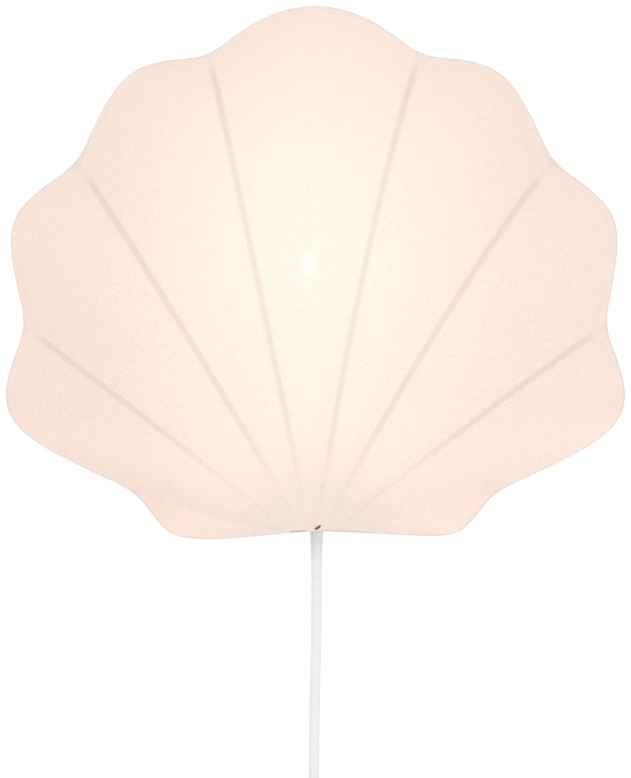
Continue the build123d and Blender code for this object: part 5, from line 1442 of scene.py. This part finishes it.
plug_plastic = solid_material(
    "moulded_plug", (0.85, 0.85, 0.84, 1), (0.78, 0.78, 0.765, 1), 0.33, cloud=50.0,
    grain_scale=2400.0, amount=0.5, rough_spread=0.15, bump=0.2, bump_distance=0.00005,
)
plug_share = np.linspace(0, 1, 140)[:, None]
plug_turn = np.linspace(0, 2 * pi, 97)[None, :]
plug_height = PLUG_TOP_Z + (PLUG_BASE_Z - PLUG_TOP_Z) * plug_share
shoulder = eased(np.clip((plug_share - 0.10) / 0.42, 0, 1))
half_wide = PLUG_NECK_HALF + (PLUG_HALF_W - PLUG_NECK_HALF) * shoulder
half_thick = PLUG_NECK_T + (PLUG_HALF_T - PLUG_NECK_T) * np.clip(plug_share / 0.35, 0, 1)
ends = np.sqrt(np.clip(1 - np.clip((plug_share - 0.97) / 0.03, 0, 1) ** 2 * 0.25, 0, 1))
ends = ends * np.sqrt(np.clip(1 - np.clip((0.03 - plug_share) / 0.03, 0, 1) ** 2 * 0.3, 0, 1))
neck_rib = between(plug_share, 0.03, 0.26, 0.02, 0.04)
grip_rib = between(plug_share, 0.50, 0.86, 0.03)
ribs = 0.35 * neck_rib * np.cos(2 * pi * NECK_RIBS * plug_share)
c, s = np.cos(plug_turn), np.sin(plug_turn)
round_off = (np.abs(c) ** SQUARENESS + np.abs(s) ** SQUARENESS) ** (-1 / SQUARENESS)
grooves = 0.5 + 0.5 * np.cos(2 * pi * GRIP_RIBS * plug_share)
side_groove = 0.45 * grip_rib * np.abs(c) ** 6 * grooves
plug_points = np.stack((
    PLUG_X + (half_wide * ends + ribs - side_groove) * c * round_off,
    PLUG_Y + (half_thick * ends + ribs) * s * round_off,
    plug_height + 0 * c,
), axis=-1)
plug_body = make_piece(
    "moulded_plug", [closed_ends(plug_points)], plug_plastic
)
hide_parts("plug_body")

bare_r, tip_z = PIN_R - 0.15, PLUG_BASE_Z - PIN_L + PIN_TIP
pin_profile = [(0, PLUG_BASE_Z + 0.6), (bare_r, PLUG_BASE_Z + 0.5), (bare_r, tip_z)]
pin_profile += [(bare_r * cos(a), tip_z - PIN_TIP * sin(a)) for a in (0.4, 0.8, 1.2)]
pin_profile += [(0.0, tip_z - PIN_TIP)]
sleeve_end_z = PLUG_BASE_Z - SLEEVE_L
sleeve_profile = [
    (0, PLUG_BASE_Z + 0.4), (PIN_R, PLUG_BASE_Z + 0.3), (PIN_R, sleeve_end_z + 0.2),
    (PIN_R - 0.12, sleeve_end_z), (0, sleeve_end_z),
]
pin_axes = [(PLUG_X - PIN_HALF_GAP, PLUG_Y), (PLUG_X + PIN_HALF_GAP, PLUG_Y)]
plug_pins = make_piece(
    "plug_pin_tips", [turned(pin_profile, axis, 40) for axis in pin_axes], nickel
)
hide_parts("plug_pins")
pin_sleeves = make_piece(
    "plug_pin_sleeves", [turned(sleeve_profile, axis, 40) for axis in pin_axes], black_glass,
)

print("lower cord's smooth line", round(lower_length, 1), "mm")

# ---------------------------------------------------------------- floor and light
# A pale floor a little below the hanging plug, an even white surround and two large soft lamps
# at a plain level. The surround and the floor are white to the camera and behind glass.
FLOOR_Z = -0.70
FLOOR_R = 1.15
AMBIENT = 0.84
LAMPS_AIM = (0.0, -0.03, -0.08)
# name, place, width in metres and power in watts
LAMPS = (
    ("key_lamp", (-1.7, -2.6, 1.5), 2.2, 16.0), ("fill_lamp", (2.2, -2.4, -0.5), 2.0, 14.0),
    ("back_lamp", (0.6, 2.6, 1.2), 2.0, 9.0),
)

floor_paint, tree, shader, place = new_material("pale_floor")
mottle = noise(tree, place, 3.0, 4.0)
# to the camera the floor fades to white at its rim, and seen from below it is clear, so it never
# hides the lamp
from_middle = far_away(tree, place, (1.0, 1.0, 0.0))
seen = put_node(tree, "ShaderNodeLightPath").outputs["Is Camera Ray"]
below = put_node(tree, "ShaderNodeNewGeometry").outputs["Backfacing"]
feed(tree, shader, {
    "Base Color": blend_colours(tree, mottle, (0.90, 0.90, 0.90, 1), (0.86, 0.86, 0.86, 1)),
    "Roughness": 0.8,
    "Emission Color": (1, 1, 1, 1),
    "Emission Strength": times(tree, seen, spread(tree, from_middle, 0.35, 1.05, 0.05, 0.6)),
    "Alpha": spread(tree, below, 0.0, 1.0, 1.0, 0.0),
})
floor_turn = np.linspace(0, 2 * pi, 97)[:-1]
floor_rim = np.stack((np.cos(floor_turn), np.sin(floor_turn)), axis=1) * FLOOR_R
floor_mesh = bpy.data.meshes.new("floor")
floor_mesh.from_pydata(
    np.column_stack((floor_rim, np.full(len(floor_rim), FLOOR_Z))), [], [range(len(floor_rim))]
)
floor_mesh.materials.append(floor_paint)
floor = bpy.data.objects.new("floor", floor_mesh)
bpy.context.scene.collection.objects.link(floor)

world = bpy.data.worlds.new("white_surround")
bpy.context.scene.world = world
world.use_nodes = True
tree = world.node_tree
ray = put_node(tree, "ShaderNodeLightPath").outputs
seen = work_out(
    tree, "MAXIMUM", ray["Is Camera Ray"],
    work_out(tree, "MAXIMUM", ray["Is Glossy Ray"], ray["Is Transmission Ray"]),
)
feed(tree, tree.nodes["Background"], {
    "Color": (1, 1, 1, 1), "Strength": spread(tree, seen, 0.0, 1.0, AMBIENT, 1.0),
})

for name, place, size, power in LAMPS:
    lamp = bpy.data.lights.new(name, "AREA")
    lamp.shape = "DISK"
    lamp.size = size
    lamp.energy = power
    holder = bpy.data.objects.new(name, lamp)
    holder.location = place
    aim = np.array(LAMPS_AIM) - np.array(place)
    holder.rotation_euler = (atan2(hypot(aim[0], aim[1]), -aim[2]), 0, atan2(-aim[0], aim[1]))
    bpy.context.scene.collection.objects.link(holder)

bpy.context.scene.view_settings.view_transform = "Standard"
